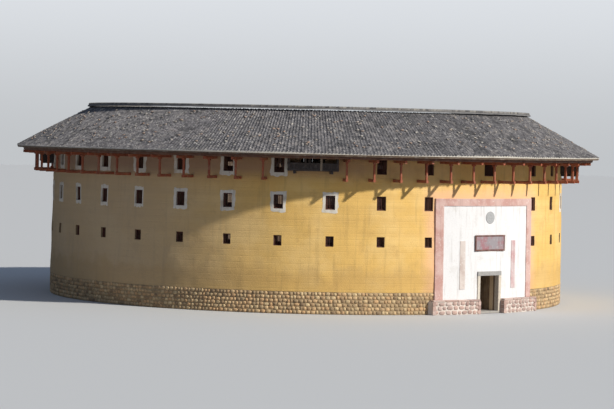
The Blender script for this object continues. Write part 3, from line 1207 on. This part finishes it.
grey_granite = build_stone("grey_granite", (0.27, 0.265, 0.26), (0.44, 0.435, 0.425), (0.40, 0.36, 0.31), 0.8)
pale_granite = build_stone("pale_granite", (0.52, 0.46, 0.38), (0.78, 0.72, 0.63), (0.68, 0.54, 0.38), 0.8)
reveal_plaster = build_plaster("reveal_plaster", (0.78, 0.60, 0.38), (0.52, 0.36, 0.21), 0.5)
stop_timber = build_timber("stop_timber", (0.09, 0.05, 0.03), (0.24, 0.14, 0.08), (0.28, 0.21, 0.15), wear=0.4)
lintel = together(
    block((-FRAME_HALF, -FRAME_FRONT, LINTEL[0]), (FRAME_HALF, -FRAME_BACK, LINTEL[1]), seed=93),
    block((-FRAME_HALF, -FRAME_BACK, HEAD_UNDERSIDE), (FRAME_HALF, -HEAD_BACK, LINTEL[1]), seed=94),
)
add_piece("door_lintel", lintel, [grey_granite], ("door_frame",))
for name, front, back, material, half in (
    ("door_jambs", FRAME_FRONT, JAMB_BACK, pale_granite, DOOR_HALF),
    ("door_stops", JAMB_BACK, STOP_BACK, stop_timber, DOOR_HALF - STOP_PROUD),
    ("door_reveals", STOP_BACK, FRAME_BACK, reveal_plaster, DOOR_HALF),
):
    pair = together(*(
        block(
            (side * half, -front, THRESHOLD_TOP + 0.001), (side * FRAME_HALF, -back, LINTEL[0]), seed=91 + side,
        )
        for side in (-1, 1)
    ))
    add_piece(name, pair, [material])
slab = block(
    (-FRAME_HALF, -FRAME_FRONT, 0.0), (FRAME_HALF, -FOOTING_ROOM_RADIUS - 0.001, THRESHOLD_TOP), 0.01, 95,
)
add_piece("threshold_slab", slab, [grey_granite], ("threshold",))

# Gate leaves: thick upright planks on three battens, pivoted on pins at head and foot, with rows of iron
# studs and a ring on the side that faces out when they are shut. At rest they stand open along the passage.
PIVOT_X = 0.4725
PIVOT_Y = -9.0765
LEAF_LOW = 0.081
LEAF_HIGH = 1.324
LEAF_LENGTH = 0.4695
LEAF_THICKNESS = 0.035
PLANKS = 4
BATTEN_LEVELS = (0.21, 0.675, 1.15)
BATTEN_HEIGHT = 0.060
BATTEN_PROUD = 0.0225
PIN = (0.0195, 0.035, 0.005)
STUD_RADIUS = 0.0078
STUDS = 7
RING_PLACE = (0.075, 0.80)
RING_RADIUS = 0.030
RING_IRON = 0.0045
BOSS_RADIUS = 0.016


def round_studs(centres, facing, radius):
    """Low domes that face along x: a ring of eight points on the plank, a smaller ring in front, and a point
    at each end."""
    facing = np.array(facing, float)
    turn = 2 * math.pi * np.arange(8) / 8
    circle = np.stack([np.zeros(8), np.cos(turn), np.sin(turn)], axis=1)
    centres = np.asarray(centres, float)[:, None]
    points = np.concatenate([
        centres - facing * radius * 0.5, centres + circle * radius,
        centres + circle * radius * 0.7 + facing * radius * 0.5, centres + facing * radius * 0.75,
    ], axis=1)
    walls, fans = quads(2, 8, wrap=True, first=1), np.concatenate([fan(1, 8, 0, back=True), fan(9, 8, 17)])
    if facing[0] < 0:
        walls, fans = walls[:, ::-1], fans[:, ::-1]
    faces = [copies(part, len(centres), 18) for part in (walls, fans)]
    return points, faces, points - centres, np.full(len(centres) * 18, 0.5)


def ring_handle(centre, radius, thickness):
    """A torus in the plane of the leaf: a small circle carried round a large one."""
    large, small = np.meshgrid(*(2 * math.pi * np.arange(count) / count for count in (20, 6)), indexing="ij")
    reach = radius + thickness * np.cos(small)
    points = np.stack([thickness * np.sin(small), reach * np.cos(large), reach * np.sin(large)], axis=-1)
    points = points + centre
    return points, [quads(20, 6, wrap=True, close=True)[:, [0, 3, 2, 1]]], points, np.full(large.size, 0.5)


gate_planks = build_timber(
    "gate_planks", (0.13, 0.088, 0.055), (0.40, 0.28, 0.17), (0.46, 0.38, 0.28), wear=0.4,
)
wrought_iron = build_stone(
    "wrought_iron", (0.03, 0.028, 0.027), (0.07, 0.064, 0.06), (0.14, 0.065, 0.035), 0.6, 0.3,
)
leaf_end = PIVOT_Y + LEAF_LENGTH
plank_edges = np.linspace(PIVOT_Y - LEAF_THICKNESS / 2 + 0.001, leaf_end, PLANKS + 1)
for side, name in ((-1, "west"), (1, "east")):
    x = side * PIVOT_X
    plank_ends = ([(x, y, z) for y in middles(plank_edges)] for z in (LEAF_LOW, LEAF_HIGH))
    planks = beams(
        *plank_ends, np.diff(plank_edges) - 0.001, LEAF_THICKNESS, up=(1.0, 0.0, 0.0), chamfer=0.003,
        seed=100 + side,
    )
    battens = [
        block(
            (x + side * 0.012, PIVOT_Y + 0.06, z - BATTEN_HEIGHT / 2),
            (x + side * (LEAF_THICKNESS / 2 + BATTEN_PROUD), leaf_end - 0.03, z + BATTEN_HEIGHT / 2),
            0.005, 104 + int(z * 10),
        )
        for z in BATTEN_LEVELS
    ]
    pin, reach, sunk = PIN
    pins = [
        beams((x, PIVOT_Y, low), (x, PIVOT_Y, high), pin, pin, up=(1.0, 0.0, 0.0), seed=108)
        for low, high in ((LEAF_LOW - reach, LEAF_LOW + sunk), (LEAF_HIGH - sunk, LEAF_HIGH + reach))
    ]
    inner = x - side * LEAF_THICKNESS / 2
    stud_y = np.linspace(PIVOT_Y + 0.05, leaf_end - 0.04, STUDS)
    ring_y, ring_z = leaf_end - RING_PLACE[0], RING_PLACE[1]
    iron = together(
        round_studs([(inner, y, z) for z in BATTEN_LEVELS for y in stud_y], (-side, 0, 0), STUD_RADIUS),
        ring_handle((inner - side * 0.008, ring_y, ring_z - RING_RADIUS), RING_RADIUS, RING_IRON),
        round_studs([(inner, ring_y, ring_z)], (-side, 0, 0), BOSS_RADIUS),
    )
    add_piece(
        f"gate_leaf_{name}_planks", together(planks, *battens, *pins), [gate_planks],
        (f"gate_leaf_{name}",), body=f"leaf_{name}",
    )
    add_piece(f"gate_leaf_{name}_iron", iron, [wrought_iron], smooth=180, body=f"leaf_{name}")

# Name board: a bare board over the gate in a moulded frame, its grey field stained dusky red in clouds. Four
# rounded mouldings lap the field's edges.
PLAQUE_HALF = 0.725
PLAQUE_LOW = 2.15
PLAQUE_HIGH = 2.70
PLAQUE_BACK = 9.4933
PLAQUE_FRONT = 9.5333
PLAQUE_RIM = 0.055
PLAQUE_LAP = 0.03
field_paint = build_limewash("plaque_field", (0.36, 0.12, 0.14), (0.31, 0.28, 0.30), (0.50, 0.46, 0.47))
rim_paint = build_timber("plaque_rim", (0.09, 0.035, 0.028), (0.20, 0.085, 0.065), (0.30, 0.22, 0.19), wear=0.5)
plaque_field = block(
    (-PLAQUE_HALF + PLAQUE_LAP, -PLAQUE_FRONT + 0.012, PLAQUE_LOW + PLAQUE_LAP),
    (PLAQUE_HALF - PLAQUE_LAP, -PLAQUE_BACK, PLAQUE_HIGH - PLAQUE_LAP), 0.002, 111,
)
rim_low, rim_high, rim_half = PLAQUE_LOW + PLAQUE_RIM, PLAQUE_HIGH - PLAQUE_RIM, PLAQUE_HALF - PLAQUE_RIM
rim = together(*(
    block((low[0], -PLAQUE_FRONT, low[1]), (high[0], -PLAQUE_BACK, high[1]), 0.012, 112)
    for low, high in (
        ((-PLAQUE_HALF, PLAQUE_LOW), (PLAQUE_HALF, rim_low)),
        ((-PLAQUE_HALF, rim_high), (PLAQUE_HALF, PLAQUE_HIGH)),
        ((-PLAQUE_HALF, rim_low), (-rim_half, rim_high)),
        ((rim_half, rim_low), (PLAQUE_HALF, rim_high)),
    )
))
add_piece("name_board_field", plaque_field[:2], [field_paint], ("name_plaque",))
add_piece("name_board_rim", rim, [rim_paint])

# Upright strips: two long sheets of paper pasted on the panel beside the gate, bare and a little cockled. The
# western one has gone a pale grey-pink, and the eastern one is still a dusty red.
STRIP_MIDDLE = 1.25
STRIP_HALF = 0.1125
STRIP_SPAN = (0.85, 2.50)
STRIP_PROUD = PANEL_PROUD + 0.0225 * 0.7
STRIP_SUNK = 0.004 - PANEL_PROUD
STRIP_PAPERS = {
    "west": build_limewash("grey_pink_paper", (0.50, 0.40, 0.36), (0.64, 0.57, 0.53), (0.74, 0.71, 0.68)),
    "east": build_limewash("faded_red_paper", (0.52, 0.27, 0.28), (0.60, 0.49, 0.49), (0.70, 0.66, 0.65)),
}
for side, name in ((-1, "west"), (1, "east")):
    strip = front_patch(
        side * STRIP_MIDDLE + np.linspace(-STRIP_HALF, STRIP_HALF, 7), np.linspace(*STRIP_SPAN, 34),
        STRIP_PROUD, STRIP_SUNK, None, 0.003, 115 + side,
    )
    add_piece(
        f"wall_strip_{name}_paper", strip, [STRIP_PAPERS[name]], (f"wall_strip_{name}",),
        smooth=50,
    )

# Emblem: a round grey plaster relief high on the panel, an outer bead and a plain rosette of eight petals. It
# is cast in one piece and bedded on the panel.
EMBLEM_RADIUS = 0.2125
EMBLEM_MIDDLE = 3.30
EMBLEM_BACK = 9.4816
EMBLEM_DEPTH = 0.025
EMBLEM_SPOKES = 64
EMBLEM_RINGS = 15


def emblem_relief():
    """A disc of rings and spokes. Its height is an outer bead, a groove, and eight petals given by |cos 4a|
    that swell half way out, round a central boss."""
    share = np.linspace(0.0, 1.0, EMBLEM_RINGS)[1:, None]
    turn = 2 * math.pi * np.arange(EMBLEM_SPOKES)[None, :] / EMBLEM_SPOKES
    bead = np.exp(-(((share - 0.90) / 0.055) ** 2))
    petal = np.exp(-(((share - 0.52) / 0.20) ** 2)) * (0.35 + 0.65 * np.abs(np.cos(4 * turn)))
    boss = np.exp(-((share / 0.15) ** 2))
    lift = EMBLEM_DEPTH * (0.45 + 0.5 * np.maximum(np.maximum(bead, petal * 0.9), boss))
    x = EMBLEM_RADIUS * share * np.cos(turn)
    z = EMBLEM_MIDDLE + EMBLEM_RADIUS * share * np.sin(turn)
    front = np.stack([x, -EMBLEM_BACK - lift, z], axis=-1)
    rim_back = np.stack([x[-1], np.full(EMBLEM_SPOKES, -EMBLEM_BACK), z[-1]], axis=-1)
    tips = [[0.0, -EMBLEM_BACK - depth, EMBLEM_MIDDLE] for depth in (0.95 * EMBLEM_DEPTH, 0.0)]
    centre, last = EMBLEM_RINGS * EMBLEM_SPOKES, (EMBLEM_RINGS - 1) * EMBLEM_SPOKES
    fans = [fan(0, EMBLEM_SPOKES, centre), fan(last, EMBLEM_SPOKES, centre + 1, back=True)]
    walls = quads(EMBLEM_RINGS, EMBLEM_SPOKES, wrap=True)[:, ::-1]
    return np.concatenate([front.reshape(-1, 3), rim_back, tips]), [walls, np.concatenate(fans)]


emblem_plaster = build_plaster("emblem_plaster", (0.40, 0.41, 0.42), (0.24, 0.24, 0.24), 0.6)
add_piece("emblem_relief", emblem_relief(), [emblem_plaster], ("emblem",), smooth=60)

# Ground floor of the gallery: a kerb of long dressed slabs along the court, and behind it rough flags in
# rows, bedded in earth mortar, from the kerb to the footing.
KERB_INNER = 6.15
KERB_OUTER = 6.43
KERBS_A_BAY = 3
FLAG_ROWS = 8
FLAG_LENGTH = 0.42
GROUND_TOP = 0.075
GROUND_BED = (KERB_INNER + 0.02, FOOTING_ROOM_RADIUS, 0.0, 0.066)


def ring_blocks(starts, ends, inner, outer, low, high, gap=0.002, chamfer=0.003, lengthwise=0, seed=0):
    """Blocks laid round the house, each between two bays, two radii and two heights, drawn in by half a gap
    all round, with its upper edges cut. A radius is that of a 34-sided ring with its corners on the bay
    lines: it is times cos(half a bay) over cos(the turn from the middle of the bay). The grain runs round the
    ring (0), outwards (1) or upwards (2)."""
    values = np.broadcast_arrays(starts, ends, inner, outer, low, high)
    starts, ends, inner, outer, low, high = (value.ravel() for value in values)
    rng = np.random.default_rng(seed)
    corners, places = [], []
    for z, cut in ((low, 0.0), (high - chamfer, 0.0), (high, chamfer)):
        inset = gap / 2 + cut
        first, last = starts + inset / (inner * BAY), ends - inset / (inner * BAY)
        near, far = inner + inset, outer - inset
        for bay, radius in ((first, far), (last, far), (last, near), (first, near)):
            side = radius * math.cos(BAY / 2) / np.cos((bay % 1 - 0.5) * BAY)
            corners.append(polar(bay, side, z))
            places.append(np.stack([bay * BAY * outer, radius, z], axis=-1))
    grain = np.roll(np.stack(places, axis=1), -lengthwise, axis=-1) + rng.uniform(0, 30, (len(starts), 1, 3))
    faces = copies(np.concatenate([quads(3, 4, wrap=True), [[3, 2, 1, 0], [8, 9, 10, 11]]]), len(starts), 12)
    return np.stack(corners, axis=1), [faces], grain, np.repeat(rng.uniform(0, 1, len(starts)), 12)


court_flag = build_stone("court_flags", (0.17, 0.155, 0.135), (0.40, 0.37, 0.32), (0.40, 0.31, 0.22), 0.88, 0.4)
kerb_bay = np.arange(BAYS * KERBS_A_BAY) / KERBS_A_BAY
flags = [ring_blocks(
    kerb_bay, kerb_bay + 1 / KERBS_A_BAY, KERB_INNER, KERB_OUTER, 0.0, GROUND_TOP, 0.005, 0.008, seed=122,
)]
flag_random = np.random.default_rng(121)
flag_edges = np.linspace(KERB_OUTER, FOOTING_ROOM_RADIUS, FLAG_ROWS + 1)
for row, (inner, outer) in enumerate(zip(flag_edges[:-1], flag_edges[1:])):
    shares = flag_random.uniform(0.6, 1.4, round(2 * math.pi * inner / FLAG_LENGTH))
    cuts = np.concatenate([[0], np.cumsum(shares)]) * BAYS / shares.sum()
    tops = GROUND_TOP - flag_random.uniform(0, 0.004, len(shares))
    flags.append(ring_blocks(cuts[:-1], cuts[1:], inner, outer, 0.0, tops, 0.009, 0.006, seed=130 + row))
add_piece("ground_flags", together(*flags), [court_flag], ("ground_floor",))
add_piece("ground_bed", lathe(ring_profile(*GROUND_BED), 4 * BAYS)[:2], [earth_mortar], smooth=35)

# Gallery posts: squared fir, one on each bay line but the gate's, in four lengths stacked on a drum of stone,
# and the plate that ties their heads and carries the court side of the roof.
POST_RADIUS = 6.45
POST_WIDTH = 0.11
POST_JOINTS = (0.150, 1.705, 3.005, 4.280, 5.675)
DRUM_WIDTH = 0.165


def posts(low, high, width, chamfer, seed):
    """Upright timbers or drums from a low to a high level, on every bay line but the gate's."""
    bays = np.arange(1, BAYS)
    feet, heads = (polar(bays, POST_RADIUS, z) for z in (low, high))
    return beams(feet, heads, width, width, outward(bays), chamfer, seed)


def ring_beam(inner, outer, low, high, **finish):
    """Straight timbers end to end, each from one bay line to the next."""
    bays = np.arange(BAYS)
    return ring_blocks(bays, bays + 1, inner, outer, low, high, **finish)


gallery_fir = build_timber(
    "gallery_fir", (0.075, 0.046, 0.030), (0.215, 0.135, 0.085), (0.27, 0.225, 0.18), wear=0.45,
)
lengths = [
    posts(low, high - 0.001, POST_WIDTH, 0.014, 140 + number)
    for number, (low, high) in enumerate(zip(POST_JOINTS[:-1], POST_JOINTS[1:]))
]
add_piece(
    "gallery_posts", together(*lengths), [gallery_fir],
    [f"gallery_posts_{quarter}" for quarter in QUARTERS],
)
drums = posts(GROUND_TOP + 0.0004, POST_JOINTS[0], DRUM_WIDTH, 0.048, 145)
add_piece("post_drums", drums, [court_flag])
plate_inner, plate_outer = POST_RADIUS - POST_WIDTH / 2, POST_RADIUS + POST_WIDTH / 2
plate_top = float(roof_underside(plate_inner)) - 0.002
plate = ring_beam(plate_inner, plate_outer, POST_JOINTS[-1], plate_top, chamfer=0.006, seed=146)
add_piece("gallery_plate", plate, [gallery_fir])

# Floors of the three upper storeys: an edge beam behind the posts, joists from it to the ledge of the wall, a
# thick one at every post and two between, and boards nailed across them.
FLOOR_TOPS = (1.775, 3.075, 4.350)
GALLERY_EDGE = 6.5104
EDGE_BEAM = (0.115, 0.140)
FLOOR_BOARD = 0.040
FLOOR_ROWS = 18
JOIST_WIDTHS = (0.085, 0.050, 0.050)
JOIST_DEPTH = 0.090
joist_bays = np.arange(BAYS * len(JOIST_WIDTHS)) / len(JOIST_WIDTHS)
whole_bays = np.arange(BAYS)[:, None]
edge_runs, joist_runs, board_runs = [], [], []
for number, (top, ledge) in enumerate(zip(FLOOR_TOPS, room_radii[1:])):
    edge_runs.append(ring_beam(
        GALLERY_EDGE, GALLERY_EDGE + EDGE_BEAM[0], top - EDGE_BEAM[1], top - FLOOR_BOARD - 0.001, chamfer=0.006,
        seed=150 + number,
    ))
    level = top - FLOOR_BOARD - JOIST_DEPTH / 2 - 0.001
    ends = (polar(joist_bays, radius, level) for radius in (GALLERY_EDGE + 0.05, ledge + 0.03))
    joist_runs.append(beams(*ends, np.tile(JOIST_WIDTHS, BAYS), JOIST_DEPTH, chamfer=0.008, seed=155 + number))
    board_edges = np.linspace(GALLERY_EDGE + 0.001, ledge + 0.035, FLOOR_ROWS + 1)
    board_runs.append(ring_blocks(
        whole_bays, whole_bays + 1, board_edges[:-1], board_edges[1:], top - FLOOR_BOARD, top, gap=0.003,
        seed=160 + number,
    ))
floor_fir = build_timber("floor_fir", (0.10, 0.068, 0.044), (0.26, 0.185, 0.125), (0.31, 0.275, 0.23), wear=0.5)
add_piece("floor_edge_beams", together(*edge_runs), [gallery_fir])
add_piece("floor_joists", together(*joist_runs), [gallery_fir])
add_piece("floor_boards", together(*board_runs), [floor_fir], ("floor_2", "floor_3", "floor_4"))

# Railings: upright fir boards held between a foot rail, a middle rail and a hand rail, right round every
# gallery. The rails run from post to post behind the gallery's edge.
RAIL_BOARDS_A_BAY = 10
RAIL_TOP = 0.515
RAILS = ((0.012, 0.066), (0.250, 0.290), (0.466, RAIL_TOP))
RAIL_REACH = (0.0005, 0.036)
RAIL_BOARD_REACH = (0.010, 0.026)
rail_runs, pale_runs = [], []
rail_bays = np.arange(BAYS * RAIL_BOARDS_A_BAY) / RAIL_BOARDS_A_BAY
for number, top in enumerate(FLOOR_TOPS):
    near, far = (GALLERY_EDGE + reach for reach in RAIL_BOARD_REACH)
    pale_runs.append(ring_blocks(
        rail_bays, rail_bays + 1 / RAIL_BOARDS_A_BAY, near, far, top + 0.001, top + RAIL_TOP - 0.02, gap=0.004,
        chamfer=0.002, lengthwise=2, seed=170 + number,
    ))
    near, far = (GALLERY_EDGE + reach for reach in RAIL_REACH)
    for rail, (low, high) in enumerate(RAILS):
        seed = 175 + 3 * number + rail
        rail_runs.append(ring_beam(near, far, top + low, top + high, chamfer=0.005, seed=seed))
add_piece("gallery_rails", together(*rail_runs), [gallery_fir])
add_piece(
    "railing_boards", together(*pale_runs), [floor_fir], ("railing_2", "railing_3", "railing_4"),
)

# Roof frame: a tie beam from the plate to the wall on every second bay line, a king post on each, pegged
# through, and the round ridge purlin that the rafters hang on.
TIE_BEAM = (0.100, 0.130)
TIE_BEAM_END = 9.02
KING_POST = (0.085, 0.095)
RIDGE_PURLIN_MIDDLE = 6.6275
RIDGE_PURLIN = (0.055, 0.0625)
frame_bays = np.arange(1, BAYS, 2)
tie_level = POST_JOINTS[-1] + TIE_BEAM[1] / 2
tie_ends = (polar(frame_bays, radius, tie_level) for radius in (plate_outer, TIE_BEAM_END))
king_radius = RIDGE_RADIUS - 0.0025
king_ends = (polar(frame_bays, king_radius, z) for z in (tie_level, RIDGE_PURLIN_MIDDLE))
peg_reach = along(frame_bays) * (TIE_BEAM[0] / 2 + 0.012)
peg_ends = (polar(frame_bays, king_radius, tie_level + 0.02) + side * peg_reach for side in (-1, 1))
roof_frame = together(
    beams(*tie_ends, *TIE_BEAM, chamfer=0.012, seed=190),
    beams(*king_ends, *KING_POST, outward(frame_bays), 0.010, 191),
    beams(*peg_ends, PEG, PEG, seed=192),
    lathe(log_profile(RIDGE_RADIUS, RIDGE_PURLIN_MIDDLE, *RIDGE_PURLIN), 8 * BAYS, 0.002, 193),
)
add_piece("roof_frame_timbers", roof_frame, [gallery_fir], ("roof_frame",))

# Stage: a pale floor that throws back less light than it shows, and fades into a paler backdrop. A soft key
# comes from the right of the gate's side, and sky light that is stronger on the key's side fills the shade.
# The camera is at the photograph's angle, below the roof's ridge and turned a little on its axis.
FLOOR_HALF = 260.0
FLOOR_DEPTH = 0.004
FLOOR_COLOUR = (0.60, 0.61, 0.615)
FLOOR_BOUNCE = (0.38, 0.36, 0.34)
KEY_AZIMUTH = 20.0
KEY_ELEVATION = 31.5
KEY_DISTANCE = 50.0
KEY_SPREAD = 2.5
KEY_STRENGTH = 4.2
KEY_COLOUR = (1.0, 0.95, 0.86)
FILL_STRENGTH = (0.16, 0.44)
FILL_COLOUR = (0.55, 0.69, 0.96, 1)
HORIZON = (0.535, 0.555, 0.575)
BACKDROP = (0.74, 0.77, 0.81)
BACKDROP_CLIMB = (-0.012, 0.075)
CAMERA_AZIMUTH = -41.8
CAMERA_DISTANCE = 90.0
CAMERA_HEIGHT = 6.0
CAMERA_DROP = 0.1
CAMERA_ROLL = 1.35
SENSOR_WIDTH = 36.0
FRAME_FILL = 0.94


def round_house(azimuth, radius, z):
    """A point at an angle in degrees from the gate, a radius and a height: x = r sin(a), y = -r cos(a)."""
    turn = math.radians(azimuth)
    return radius * math.sin(turn), -radius * math.cos(turn), z


def set_up(name, data, place, target):
    """Puts a lamp or a camera at a place, with its -Z axis turned to a target."""
    thing = bpy.data.objects.new(name, data)
    bpy.context.scene.collection.objects.link(thing)
    thing.location = place
    thing.rotation_mode = "QUATERNION"
    thing.rotation_quaternion = (Vector(target) - Vector(place)).to_track_quat("-Z", "Y")
    return thing


floor_mesh = bpy.data.meshes.new("studio_floor")
floor_mesh.from_pydata(
    [(sx * FLOOR_HALF, sy * FLOOR_HALF, -FLOOR_DEPTH) for sx, sy in ((-1, -1), (1, -1), (1, 1), (-1, 1))],
    [], [(0, 1, 2, 3)],
)
studio_floor = bpy.data.objects.new("studio_floor", floor_mesh)
bpy.context.scene.collection.objects.link(studio_floor)
floor_paint, floor_tree, _ = new_material("studio_floor", 0.9, FLOOR_COLOUR)
camera_ray = shade(floor_tree, "LightPath").outputs["Is Camera Ray"]
floor_shown = mixed(floor_tree, camera_ray, FLOOR_BOUNCE, FLOOR_COLOUR)
floor_tree.links.new(floor_shown, floor_tree.nodes["Principled BSDF"].inputs["Base Color"])
floor_mesh.materials.append(floor_paint)

key_lamp = bpy.data.lights.new("key_light", "SUN")
key_lamp.energy = KEY_STRENGTH
key_lamp.angle = math.radians(KEY_SPREAD)
key_lamp.color = KEY_COLOUR
key_rise = math.radians(KEY_ELEVATION)
key_place = round_house(KEY_AZIMUTH, KEY_DISTANCE * math.cos(key_rise), KEY_DISTANCE * math.sin(key_rise))
set_up("key_light", key_lamp, key_place, (0, 0, 0))

sky = bpy.data.worlds.new("pale_sky")
bpy.context.scene.world = sky
sky.use_nodes = True
sky_tree = sky.node_tree
fill = sky_tree.nodes["Background"]
fill.inputs["Color"].default_value = FILL_COLOUR
heading = shade(sky_tree, "TexCoord").outputs["Generated"]
to_key = round_house(KEY_AZIMUTH, 1.0, 0.0)
facing = shade(sky_tree, "VectorMath", {0: heading, 1: to_key}, operation="DOT_PRODUCT").outputs["Value"]
brightness = ramp(sky_tree, facing, -1.0, 1.0, *FILL_STRENGTH, kind="LINEAR")
sky_tree.links.new(brightness, fill.inputs["Strength"])
rise = shade(sky_tree, "SeparateXYZ", {"Vector": heading}).outputs["Z"]
fade = mixed(sky_tree, ramp(sky_tree, rise, *BACKDROP_CLIMB), HORIZON, BACKDROP)
backdrop = shade(sky_tree, "Background", {"Strength": 1.0, "Color": fade})
by_camera = shade(sky_tree, "LightPath").outputs["Is Camera Ray"]
seen = shade(sky_tree, "MixShader", {0: by_camera, 1: fill.outputs[0], 2: backdrop.outputs[0]})
sky_tree.links.new(seen.outputs[0], sky_tree.nodes["World Output"].inputs["Surface"])
bpy.context.scene.view_settings.view_transform = "Standard"

camera = set_up(
    "camera", bpy.data.cameras.new("camera"), round_house(CAMERA_AZIMUTH, CAMERA_DISTANCE, CAMERA_HEIGHT),
    (0, 0, (cad_low.z + cad_high.z) / 2 - CAMERA_DROP),
)
roll = Quaternion((0, 0, 1), math.radians(CAMERA_ROLL))
camera.rotation_quaternion = camera.rotation_quaternion @ roll
camera.data.sensor_width = SENSOR_WIDTH
camera.data.lens = FRAME_FILL * SENSOR_WIDTH * CAMERA_DISTANCE / (cad_high.x - cad_low.x)
camera.data.clip_start = 1.0
camera.data.clip_end = 2000.0
bpy.context.scene.camera = camera
